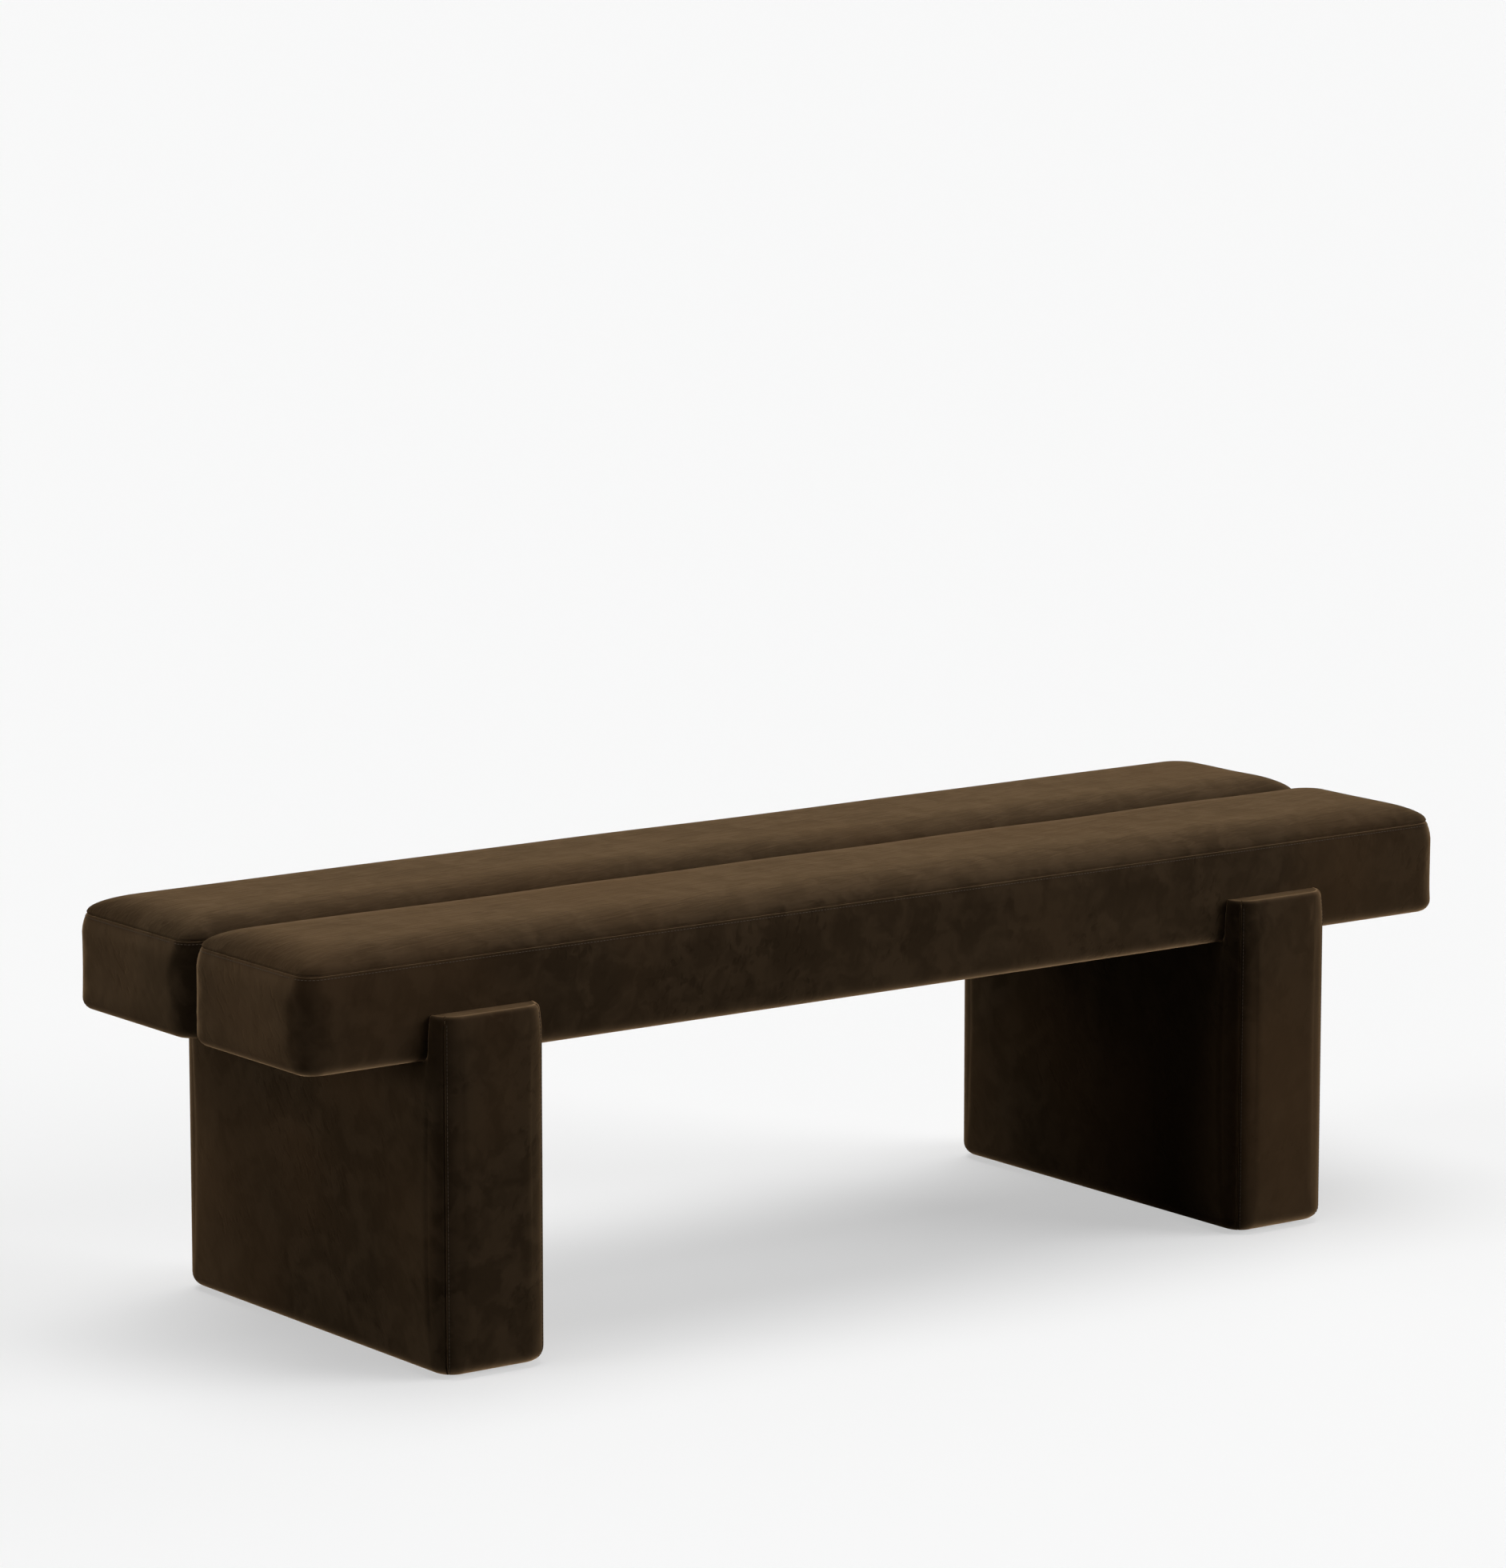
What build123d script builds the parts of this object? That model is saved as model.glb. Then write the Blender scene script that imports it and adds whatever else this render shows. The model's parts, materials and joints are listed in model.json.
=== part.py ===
from build123d import *
from math import sqrt
import os

# Upholstered bench. Two long seat beams lie side by side in the notches of two slab legs. The legs stand
# proud of the seat at the front and the back, and rise beside it as low tabs. Every outer face is velvet.
# Millimetres. The origin is on the floor under the middle of the seat: +X runs along the seat, +Y to the
# back, +Z up.

# Seat beams: outer faces of the velvet
seat_length = 1500.0
beam_width = 220.0
beam_gap = 6.0
seat_underside = 324.0
side_height = 101.0
crown_rise = 25.0
crown_flat = 28.0
upright_corner = 26.0
bottom_roll = 13.0
seam_inset = 6.0
draw_height = 40.0
seat_turn_under = 35.0

# Slab legs: outer faces of the velvet
leg_thickness = 134.0
left_overhang = 144.0
right_overhang = 182.0
tab_rise = 48.0
tab_roll = 12.0
leg_corner = 28.0
leg_bottom_roll = 15.0
leg_turn_under = 22.0
floor_gap = 3.0

# Cloth, foam and the clearance of soft pieces
cloth = 1.5
dust_cloth = 1.0
soft_gap = 0.3
edge_foam = 10.5
leg_foam = 6.0

# Seat frame
frame_corner = 14.0
seat_board = 12.0
seat_rail = 18.0
deck_drop = 20.0
rib_offset = 50.0

# Leg frame
leg_frame_corner = 16.0
end_board = 18.0
side_board = 12.0
cradle_board = 18.0
foot_board = 12.0
stiffener = 18.0

# Bolts, washers and tee nuts, two to each crossing of a beam and a leg
bolt_inset = 25.0
bolt_radius = 4.0
bolt_length = 40.0
bolt_head_radius = 6.5
bolt_head_height = 8.0
bolt_socket_radius = 3.4
bolt_socket_depth = 4.0
bolt_hole_radius = 4.5
washer_radius = 10.0
washer_thickness = 2.0
nut_flange_radius = 9.5
nut_flange = 1.5
nut_barrel_radius = 5.2
nut_barrel = 11.0
nut_hole_radius = 5.3
thread_gap = 0.05
access_radius = 14.0

# Glides under each leg
glide_radius = 11.0
glide_inset_x = 35.0
glide_inset_y = 55.0
nail_radius = 1.2
nail_length = 11.0

# Shares of the way up the drawn-in sides and across the crown's roll, where a section is laid
draw_shares = (0, 0.35, 0.7, 1)
crown_shares = (0, 0.08, 0.2, 0.38, 0.6, 0.82, 1)
plateau_round_share = 0.9

# Sizes that follow
seam_height = seat_underside + side_height
deck_top = seam_height - deck_drop
roll_width = (beam_width - 2 * seam_inset - crown_flat) / 2
seat_depth = 2 * beam_width + beam_gap
beam_offset = (beam_width + beam_gap) / 2
notch_width = seat_depth + 2 * soft_gap
leg_skin = cloth + leg_foam
leg_depth = notch_width + 2 * (cloth + end_board + leg_skin)
frame_inset = cloth + edge_foam
base_bottom = seat_underside + cloth + soft_gap
base_top = base_bottom + seat_board
deck_bottom = deck_top - seat_board
rib_length = beam_width - 2 * (frame_inset + seat_rail)
bolt_spacing = rib_length - 2 * bolt_inset
draw_radius = (draw_height**2 + seam_inset**2) / (2 * seam_inset)
tab_top = seat_underside + tab_rise
cradle_top = seat_underside - cloth
cradle_bottom = cradle_top - cradle_board
foot_bottom = floor_gap + cloth + soft_gap
foot_top = foot_bottom + foot_board
leg_frame_width = leg_thickness - 2 * leg_skin
leg_hollow_width = leg_frame_width - 2 * side_board
leg_hollow_depth = notch_width + 2 * cloth
leg_pad_bottom = foot_bottom + leg_bottom_roll - leg_skin

beams = {"front_seat": -beam_offset, "rear_seat": beam_offset}
legs = {
    "left_leg": -seat_length / 2 + left_overhang + leg_thickness / 2,
    "right_leg": seat_length / 2 - right_overhang - leg_thickness / 2,
}


def write(piece, label):
    """Label a finished piece and write it under that name."""
    piece.part.label = label
    export_step(piece.part, f"parts/{label}.step")


def level(x, y, height):
    """The horizontal plane at a height, with its origin over one beam or leg."""
    return Plane(origin=(x, y, height))


def drawn_in(height):
    """How far the seat's sides are drawn in at a height, towards the seam."""
    rise = max(height - seam_height + draw_height, 0)
    return draw_radius - sqrt(draw_radius**2 - rise**2)


def seat_outline(skin, inset):
    """The beam's rounded outline, a skin and an inset inside the velvet's outer face."""
    margin = skin + inset
    RectangleRounded(seat_length - 2 * margin, beam_width - 2 * margin, upright_corner - margin)


def seat_sides(y, skin):
    """The beam below its seam: rounded bottom edges, upright sides, drawn in below the seam."""
    bottom = seat_underside + skin
    draw_start = seam_height - draw_height
    with BuildPart() as sides:
        with BuildSketch(level(0, y, bottom)):
            seat_outline(skin, 0)
        extrude(amount=draw_start - bottom)
        fillet(sides.faces().sort_by(Axis.Z)[0].edges(), bottom_roll - skin)
        for share in draw_shares:
            height = draw_start + share * draw_height
            with BuildSketch(level(0, y, height)):
                seat_outline(skin, drawn_in(height))
        loft()
    return sides.part


def crown_outline(skin, share):
    """One section of the crown, a share of the way across its roll, rounder towards the plateau."""
    margin = seam_inset + skin + share * roll_width
    width = beam_width - 2 * margin
    seam_corner = upright_corner - seam_inset - skin
    corner = (1 - share) * seam_corner + share * plateau_round_share * width / 2
    RectangleRounded(seat_length - 2 * margin, width, corner)


def seat_crown(y, skin):
    """The beam above its seam: a parabolic roll up to a long narrow plateau."""
    with BuildPart() as crown:
        for share in crown_shares:
            rise = (crown_rise - skin) * (1 - (1 - share) ** 2)
            with BuildSketch(level(0, y, seam_height + rise)):
                crown_outline(skin, share)
        loft()
    return crown.part


def frame_outline():
    """The outline of the seat frame's boards."""
    RectangleRounded(seat_length - 2 * frame_inset, beam_width - 2 * frame_inset, frame_corner)


def seat_bolt_places():
    """Bolt places over both legs, seen from the middle of a beam."""
    return [(x, side * bolt_spacing / 2) for x in legs.values() for side in (-1, 1)]


def leg_bolt_places():
    """Bolt places under both beams, seen from the middle of a leg."""
    return [(0, y + side * bolt_spacing / 2) for y in beams.values() for side in (-1, 1)]


def glide_places():
    """The four glides, seen from the middle of a leg."""
    return GridLocations(leg_thickness - 2 * glide_inset_x, leg_depth - 2 * glide_inset_y, 2, 2)


def make_top_cover(beam, y):
    with BuildPart() as cover:
        add(seat_crown(y, 0))
        add(seat_crown(y, cloth), mode=Mode.SUBTRACT)
    write(cover, f"{beam}_top_cover")


def make_boxing(beam, y):
    with BuildPart() as boxing:
        add(seat_sides(y, 0))
        add(seat_sides(y, cloth), mode=Mode.SUBTRACT)
        with BuildSketch(level(0, y, seat_underside)):
            Rectangle(seat_length - 2 * seat_turn_under, beam_width - 2 * seat_turn_under)
        extrude(amount=cloth, mode=Mode.SUBTRACT)
    write(boxing, f"{beam}_boxing")


def make_crown_pad(beam, y):
    with BuildPart() as pad:
        add(seat_sides(y, cloth + soft_gap))
        with BuildSketch(level(0, y, seat_underside)):
            Rectangle(seat_length, beam_width)
        extrude(amount=deck_top - seat_underside, mode=Mode.SUBTRACT)
        add(seat_crown(y, cloth + soft_gap))
    write(pad, f"{beam}_crown_pad")


def make_edge_pads(beam, y):
    end_joint = seat_length / 2 - frame_inset + soft_gap / 2
    with BuildPart() as pads:
        add(seat_sides(y, cloth + soft_gap))
        with BuildSketch(level(0, y, deck_top)):
            Rectangle(seat_length, beam_width)
        extrude(amount=seam_height - deck_top, mode=Mode.SUBTRACT)
        with BuildSketch(level(0, y, seat_underside)):
            frame_outline()
            with Locations((-end_joint, 0), (end_joint, 0)):
                Rectangle(soft_gap, beam_width)
        extrude(amount=deck_top - seat_underside, mode=Mode.SUBTRACT)
    write(pads, f"{beam}_edge_pads")


def make_deck_board(beam, y):
    with BuildPart() as deck:
        with BuildSketch(level(0, y, deck_bottom)):
            frame_outline()
        extrude(amount=seat_board)
    write(deck, f"{beam}_deck_board")


def make_long_rails(beam, y):
    with BuildPart() as rails:
        with BuildSketch(level(0, y, base_top)):
            frame_outline()
            Rectangle(seat_length, rib_length, mode=Mode.SUBTRACT)
        extrude(amount=deck_bottom - base_top)
    write(rails, f"{beam}_long_rails")


def make_cross_pieces(beam, y, places, label):
    """Rails or ribs that stand across the beam at places along it."""
    with BuildPart() as cross:
        with BuildSketch(level(0, y, base_top)):
            with Locations(*[(x, 0) for x in places]):
                Rectangle(seat_rail, rib_length)
        extrude(amount=deck_bottom - base_top)
    write(cross, f"{beam}_{label}")


def make_base_board(beam, y):
    with BuildPart() as base:
        with BuildSketch(level(0, y, base_bottom)):
            frame_outline()
            with Locations(*seat_bolt_places()):
                Circle(nut_hole_radius, mode=Mode.SUBTRACT)
        extrude(amount=seat_board)
    write(base, f"{beam}_base_board")


def make_seat_dust_cloth(beam, y):
    margin = seat_turn_under + soft_gap
    with BuildPart() as dust:
        with BuildSketch(level(0, y, base_bottom - dust_cloth)):
            Rectangle(seat_length - 2 * margin, beam_width - 2 * margin)
            with Locations(*seat_bolt_places()):
                Circle(bolt_hole_radius, mode=Mode.SUBTRACT)
        extrude(amount=dust_cloth)
    write(dust, f"{beam}_dust_cloth")


def make_tee_nuts(beam, y):
    """A flange on the base board's upper face, and a threaded barrel down in the board."""
    with BuildPart() as nuts:
        with BuildSketch(level(0, y, base_top)):
            with Locations(*seat_bolt_places()):
                Circle(nut_flange_radius)
        extrude(amount=nut_flange)
        with BuildSketch(level(0, y, base_top)):
            with Locations(*seat_bolt_places()):
                Circle(nut_barrel_radius)
        extrude(amount=-nut_barrel)
        with BuildSketch(level(0, y, base_top - nut_barrel)):
            with Locations(*seat_bolt_places()):
                Circle(bolt_radius + thread_gap)
        extrude(amount=nut_barrel + nut_flange, mode=Mode.SUBTRACT)
    write(nuts, f"{beam}_tee_nuts")


def leg_body(x, skin, lining, bottom, corner):
    """The leg's form, a skin inside the velvet on its sides and tabs and a lining inside it in the notch."""
    top = tab_top - skin
    with BuildPart() as body:
        with BuildSketch(level(x, 0, bottom)):
            RectangleRounded(leg_thickness - 2 * skin, leg_depth - 2 * skin, corner)
        extrude(amount=top - bottom)
        fillet(body.faces().sort_by(Axis.Z)[0].edges(), leg_bottom_roll - skin)
        with BuildSketch(Plane(origin=(x, 0, bottom), x_dir=(1, 0, 0), z_dir=(0, -1, 0))) as face:
            Rectangle(leg_thickness - 2 * skin, top - bottom, align=(Align.CENTER, Align.MIN))
            fillet(face.vertices().group_by(Axis.Z)[-1], tab_roll - skin)
        extrude(amount=leg_depth / 2, both=True, mode=Mode.INTERSECT)
        with BuildSketch(level(x, 0, seat_underside - lining)):
            Rectangle(leg_thickness, notch_width + 2 * lining)
        extrude(amount=tab_top - seat_underside + lining, mode=Mode.SUBTRACT)
    return body.part


def leg_cover_shell(x):
    """The leg's velvet in one piece, open underneath where the base cloth goes."""
    with BuildPart() as shell:
        add(leg_body(x, 0, 0, floor_gap, leg_corner))
        add(leg_body(x, cloth, cloth, floor_gap + cloth, leg_corner - cloth), mode=Mode.SUBTRACT)
        with BuildSketch(level(x, 0, floor_gap)):
            Rectangle(leg_thickness - 2 * leg_turn_under, leg_depth - 2 * leg_turn_under)
        extrude(amount=cloth, mode=Mode.SUBTRACT)
    return shell.part


def strip_outline():
    """The outline inside the side and end covers, which the top strip fills."""
    RectangleRounded(leg_thickness - 2 * cloth, leg_depth - 2 * cloth, leg_corner - cloth)


def leg_corners(margin):
    """The corners of the leg's outline, a margin inside it, from the front left one round."""
    half_x = leg_thickness / 2 - margin
    half_y = leg_depth / 2 - margin
    return [(-half_x, -half_y), (half_x, -half_y), (half_x, half_y), (-half_x, half_y)]


def make_leg_covers(leg, x, shell, labels):
    """The upright velvet panels, cut from the shell down the middle of each rounded corner."""
    outer = leg_corners(0)
    inner = leg_corners(leg_turn_under)
    for number, label in enumerate(labels):
        following = (number + 1) % len(labels)
        with BuildPart() as cover:
            add(shell)
            with BuildSketch(level(x, 0, cradle_top)):
                strip_outline()
            extrude(amount=tab_top - cradle_top, mode=Mode.SUBTRACT)
            with BuildSketch(level(x, 0, floor_gap)):
                with BuildLine():
                    Polyline(outer[number], outer[following], inner[following], inner[number], close=True)
                make_face()
            extrude(amount=tab_top - floor_gap, mode=Mode.INTERSECT)
        write(cover, f"{leg}_{label}")


def make_top_strip(leg, x, shell):
    """The velvet over the tabs and along the notch, with holes for the bolts."""
    with BuildPart() as strip:
        add(shell)
        with BuildSketch(level(x, 0, cradle_top)):
            strip_outline()
        extrude(amount=tab_top - cradle_top, mode=Mode.INTERSECT)
        with BuildSketch(level(x, 0, cradle_top)):
            with Locations(*leg_bolt_places()):
                Circle(bolt_hole_radius)
        extrude(amount=cloth, mode=Mode.SUBTRACT)
    write(strip, f"{leg}_top_strip")


def make_leg_pads(leg, x, frame):
    """Foam round the frame: sheets on the two faces below the notch, and wraps over the two ends."""
    pad_skin = cloth + soft_gap
    for label, mode in (("side_pads", Mode.INTERSECT), ("end_pads", Mode.SUBTRACT)):
        with BuildPart() as pads:
            add(leg_body(x, pad_skin, cloth, foot_bottom, leg_corner - pad_skin))
            with BuildSketch(level(x, 0, foot_bottom)):
                Rectangle(leg_thickness, leg_depth)
            extrude(amount=leg_pad_bottom - foot_bottom, mode=Mode.SUBTRACT)
            add(frame, mode=Mode.SUBTRACT)
            with BuildSketch(level(x, 0, foot_bottom)):
                Rectangle(leg_thickness, leg_hollow_depth)
            extrude(amount=cradle_top - foot_bottom, mode=mode)
        write(pads, f"{leg}_{label}")


def make_end_boards(leg, x, frame):
    with BuildPart() as boards:
        add(frame)
        with BuildSketch(level(x, 0, foot_bottom)):
            Rectangle(leg_thickness, leg_hollow_depth)
        extrude(amount=tab_top - foot_bottom, mode=Mode.SUBTRACT)
    write(boards, f"{leg}_end_boards")


def make_side_boards(leg, x, frame):
    with BuildPart() as boards:
        add(frame)
        with BuildSketch(level(x, 0, foot_bottom)):
            Rectangle(leg_thickness, leg_hollow_depth)
            Rectangle(leg_hollow_width, leg_hollow_depth, mode=Mode.SUBTRACT)
        extrude(amount=cradle_bottom - foot_bottom, mode=Mode.INTERSECT)
    write(boards, f"{leg}_side_boards")


def make_cradle_board(leg, x):
    with BuildPart() as cradle:
        with BuildSketch(level(x, 0, cradle_bottom)):
            Rectangle(leg_frame_width, leg_hollow_depth)
            with Locations(*leg_bolt_places()):
                Circle(bolt_hole_radius, mode=Mode.SUBTRACT)
        extrude(amount=cradle_board)
    write(cradle, f"{leg}_cradle_board")


def make_foot_board(leg, x):
    """The board the glides are nailed to, with round openings to reach the bolts through."""
    with BuildPart() as foot:
        with BuildSketch(level(x, 0, foot_bottom)):
            Rectangle(leg_hollow_width, leg_hollow_depth)
            with Locations(*leg_bolt_places()):
                Circle(access_radius, mode=Mode.SUBTRACT)
            with glide_places():
                Circle(nail_radius + thread_gap, mode=Mode.SUBTRACT)
        extrude(amount=foot_board)
    write(foot, f"{leg}_foot_board")


def make_stiffeners(leg, x):
    with BuildPart() as ribs:
        with BuildSketch(level(x, 0, foot_top)):
            with Locations(*[(0, y) for y in beams.values()]):
                Rectangle(leg_hollow_width, stiffener)
        extrude(amount=cradle_bottom - foot_top)
    write(ribs, f"{leg}_stiffeners")


def make_base_cloth(leg, x):
    margin = leg_turn_under + soft_gap
    with BuildPart() as base:
        with BuildSketch(level(x, 0, foot_bottom - dust_cloth)):
            Rectangle(leg_thickness - 2 * margin, leg_depth - 2 * margin)
            with glide_places():
                Circle(nail_radius + thread_gap, mode=Mode.SUBTRACT)
        extrude(amount=dust_cloth)
    write(base, f"{leg}_base_cloth")


def make_bolts(leg, x):
    """Socket screws up through the cradle board, their heads inside the leg."""
    head_top = cradle_bottom - washer_thickness
    with BuildPart() as bolts:
        with BuildSketch(level(x, 0, head_top)):
            with Locations(*leg_bolt_places()):
                Circle(bolt_radius)
        extrude(amount=bolt_length)
        with BuildSketch(level(x, 0, head_top)):
            with Locations(*leg_bolt_places()):
                Circle(bolt_head_radius)
        extrude(amount=-bolt_head_height)
        with BuildSketch(level(x, 0, head_top - bolt_head_height)):
            with Locations(*leg_bolt_places()):
                RegularPolygon(bolt_socket_radius, 6)
        extrude(amount=bolt_socket_depth, mode=Mode.SUBTRACT)
    write(bolts, f"{leg}_bolts")


def make_washers(leg, x):
    with BuildPart() as washers:
        with BuildSketch(level(x, 0, cradle_bottom - washer_thickness)):
            with Locations(*leg_bolt_places()):
                Circle(washer_radius)
                Circle(bolt_radius + thread_gap, mode=Mode.SUBTRACT)
        extrude(amount=washer_thickness)
    write(washers, f"{leg}_washers")


def make_glides(leg, x):
    """Low discs that stand on the floor, each with its nail up into the foot board."""
    disc_top = foot_bottom - dust_cloth
    with BuildPart() as glides:
        with BuildSketch(level(x, 0, 0)):
            with glide_places():
                Circle(glide_radius)
        extrude(amount=disc_top)
        with BuildSketch(level(x, 0, disc_top)):
            with glide_places():
                Circle(nail_radius)
        extrude(amount=nail_length)
    write(glides, f"{leg}_glides")


def make_beam(beam, y):
    leg_places = list(legs.values())
    end_rail_x = seat_length / 2 - frame_inset - seat_rail / 2
    rib_places = [x + side * rib_offset for x in leg_places for side in (-1, 1)]
    make_top_cover(beam, y)
    make_boxing(beam, y)
    make_crown_pad(beam, y)
    make_edge_pads(beam, y)
    make_deck_board(beam, y)
    make_long_rails(beam, y)
    make_cross_pieces(beam, y, (-end_rail_x, end_rail_x), "end_rails")
    make_cross_pieces(beam, y, rib_places + [sum(leg_places) / len(leg_places)], "ribs")
    make_base_board(beam, y)
    make_seat_dust_cloth(beam, y)
    make_tee_nuts(beam, y)


def make_leg(leg, x):
    side_labels = ("outer_cover", "inner_cover") if x > 0 else ("inner_cover", "outer_cover")
    shell = leg_cover_shell(x)
    frame = leg_body(x, leg_skin, cloth, foot_bottom, leg_frame_corner)
    make_leg_covers(leg, x, shell, ("front_cover", side_labels[0], "rear_cover", side_labels[1]))
    make_top_strip(leg, x, shell)
    make_leg_pads(leg, x, frame)
    make_end_boards(leg, x, frame)
    make_side_boards(leg, x, frame)
    make_cradle_board(leg, x)
    make_foot_board(leg, x)
    make_stiffeners(leg, x)
    make_base_cloth(leg, x)
    make_bolts(leg, x)
    make_washers(leg, x)
    make_glides(leg, x)


os.makedirs("parts", exist_ok=True)
for beam_name, beam_y in beams.items():
    make_beam(beam_name, beam_y)
for leg_name, leg_x in legs.items():
    make_leg(leg_name, leg_x)
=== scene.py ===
"""Dresses the bench's frame in velvet: padded panels, seams, stitches, a pale floor and soft lamps."""

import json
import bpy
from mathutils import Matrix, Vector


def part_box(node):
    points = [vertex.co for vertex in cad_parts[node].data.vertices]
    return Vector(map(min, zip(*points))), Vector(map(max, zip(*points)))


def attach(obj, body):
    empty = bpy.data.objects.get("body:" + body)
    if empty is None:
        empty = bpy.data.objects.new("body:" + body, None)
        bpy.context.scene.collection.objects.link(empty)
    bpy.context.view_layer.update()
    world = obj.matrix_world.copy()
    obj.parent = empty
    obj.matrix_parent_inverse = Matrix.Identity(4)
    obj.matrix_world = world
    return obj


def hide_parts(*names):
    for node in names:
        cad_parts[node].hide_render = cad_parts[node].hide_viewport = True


bl_info = {
    "name": "Velvet Slab Bench",
    "version": (1, 0, 0),
    "blender": (4, 5, 0),
    "location": "View3D > Sidebar > Bench",
    "description": "Dresses the frame of a slab-legged bench in velvet and sets it on a pale floor",
    "category": "Object",
}

from collections import namedtuple

import bmesh
import bpy
import numpy as np
from bpy.props import FloatProperty, FloatVectorProperty, IntProperty, PointerProperty

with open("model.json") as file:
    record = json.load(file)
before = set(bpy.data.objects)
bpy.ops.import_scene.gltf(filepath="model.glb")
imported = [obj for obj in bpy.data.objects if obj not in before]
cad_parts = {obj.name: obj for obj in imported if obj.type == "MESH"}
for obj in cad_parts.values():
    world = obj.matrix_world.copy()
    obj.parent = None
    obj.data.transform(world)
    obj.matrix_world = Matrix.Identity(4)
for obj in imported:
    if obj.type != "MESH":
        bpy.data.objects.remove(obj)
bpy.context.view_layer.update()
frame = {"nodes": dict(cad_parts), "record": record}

BEAMS = ("front_seat", "rear_seat")
BEAM_TURNS = (1, -1)  # the rear beam is the front one mirrored front to back
LEGS = ("left_leg", "right_leg")
# Each corner of a leg: its seam's angle, its side along X and along Y, and the way to the leg's narrow cover
LEG_CORNERS = ((225, -1, -1, 1), (315, 1, -1, -1), (45, 1, 1, 1), (135, -1, 1, -1))
BODY = "root"

CORNER_STEPS = 10
CROWN_RINGS = 16
CROWN_CROWDING = 1.4  # power that draws the crown's rings towards its seam
CROWN_LAST = 1.08  # place of the last of them, past the roll, as a share of the roll
SIDE_ROWS = 16
EAR_ROWS = 10
WELT_SIDES = 8
STITCH_SIDES = 6
STITCH_RINGS = np.array([-1, -0.8, 0, 0.8, 1])  # places of a stitch's rings along half its length
THREAD_PROUD = 0.4  # how far the thread's middle stands out, as a share of its radius
WAVE_COUNT = 14
WAVE_DENSITY = np.array([[14], [30], [30]])  # radians a metre along X, Y and Z
WAVE_GAIN = 4  # brings the mean of the waves to a height of about 1
CLOTH_QUALITY = 4

Beam = namedtuple("Beam", "name x y half_x half_y underside seam top inset")
Leg = namedtuple("Leg", "name x y half_x half_y floor notch top notch_y")


def beam_sizes(name):
    """A seat beam's middle, half sizes and heights, read from its nodes."""
    low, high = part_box(f"{name}_boxing")
    cover_low, cover_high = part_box(f"{name}_top_cover")
    middle = (low + high) / 2
    half = (high - low) / 2
    return Beam(name, middle.x, middle.y, half.x, half.y, low.z, high.z, cover_high.z, cover_low.x - low.x)


def leg_sizes(name):
    """A leg's middle, half sizes, heights and the reach of its notch, read from the nodes."""
    parts = ("outer_cover", "inner_cover", "front_cover", "rear_cover", "top_strip")
    boxes = np.array([[list(corner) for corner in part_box(f"{name}_{part}")] for part in parts])
    low = boxes[:, 0].min(axis=0)
    high = boxes[:, 1].max(axis=0)
    middle = (low + high) / 2
    half = (high - low) / 2
    seat_low, seat_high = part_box("rear_seat_boxing")
    notch_y = seat_high.y + form().notch_clearance
    return Leg(name, middle[0], middle[1], half[0], half[1], low[2], seat_low.z, high[2], notch_y)


def metres(name, description, default):
    """A setting in metres."""
    return FloatProperty(name=name, description=description, default=default, unit="LENGTH")


def amount(name, description, default):
    """A setting without a unit."""
    return FloatProperty(name=name, description=description, default=default)


def fraction(name, description, default):
    """A setting from 0 to 1."""
    return FloatProperty(name=name, description=description, default=default, min=0, max=1)


def degrees(name, description, default):
    """An angle whose default is given in degrees."""
    return FloatProperty(name=name, description=description, default=np.radians(default), subtype="ANGLE")


def colour(name, description, default):
    """A colour."""
    return FloatVectorProperty(
        name=name, description=description, default=default, subtype="COLOR", size=3, min=0, max=1)


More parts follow.
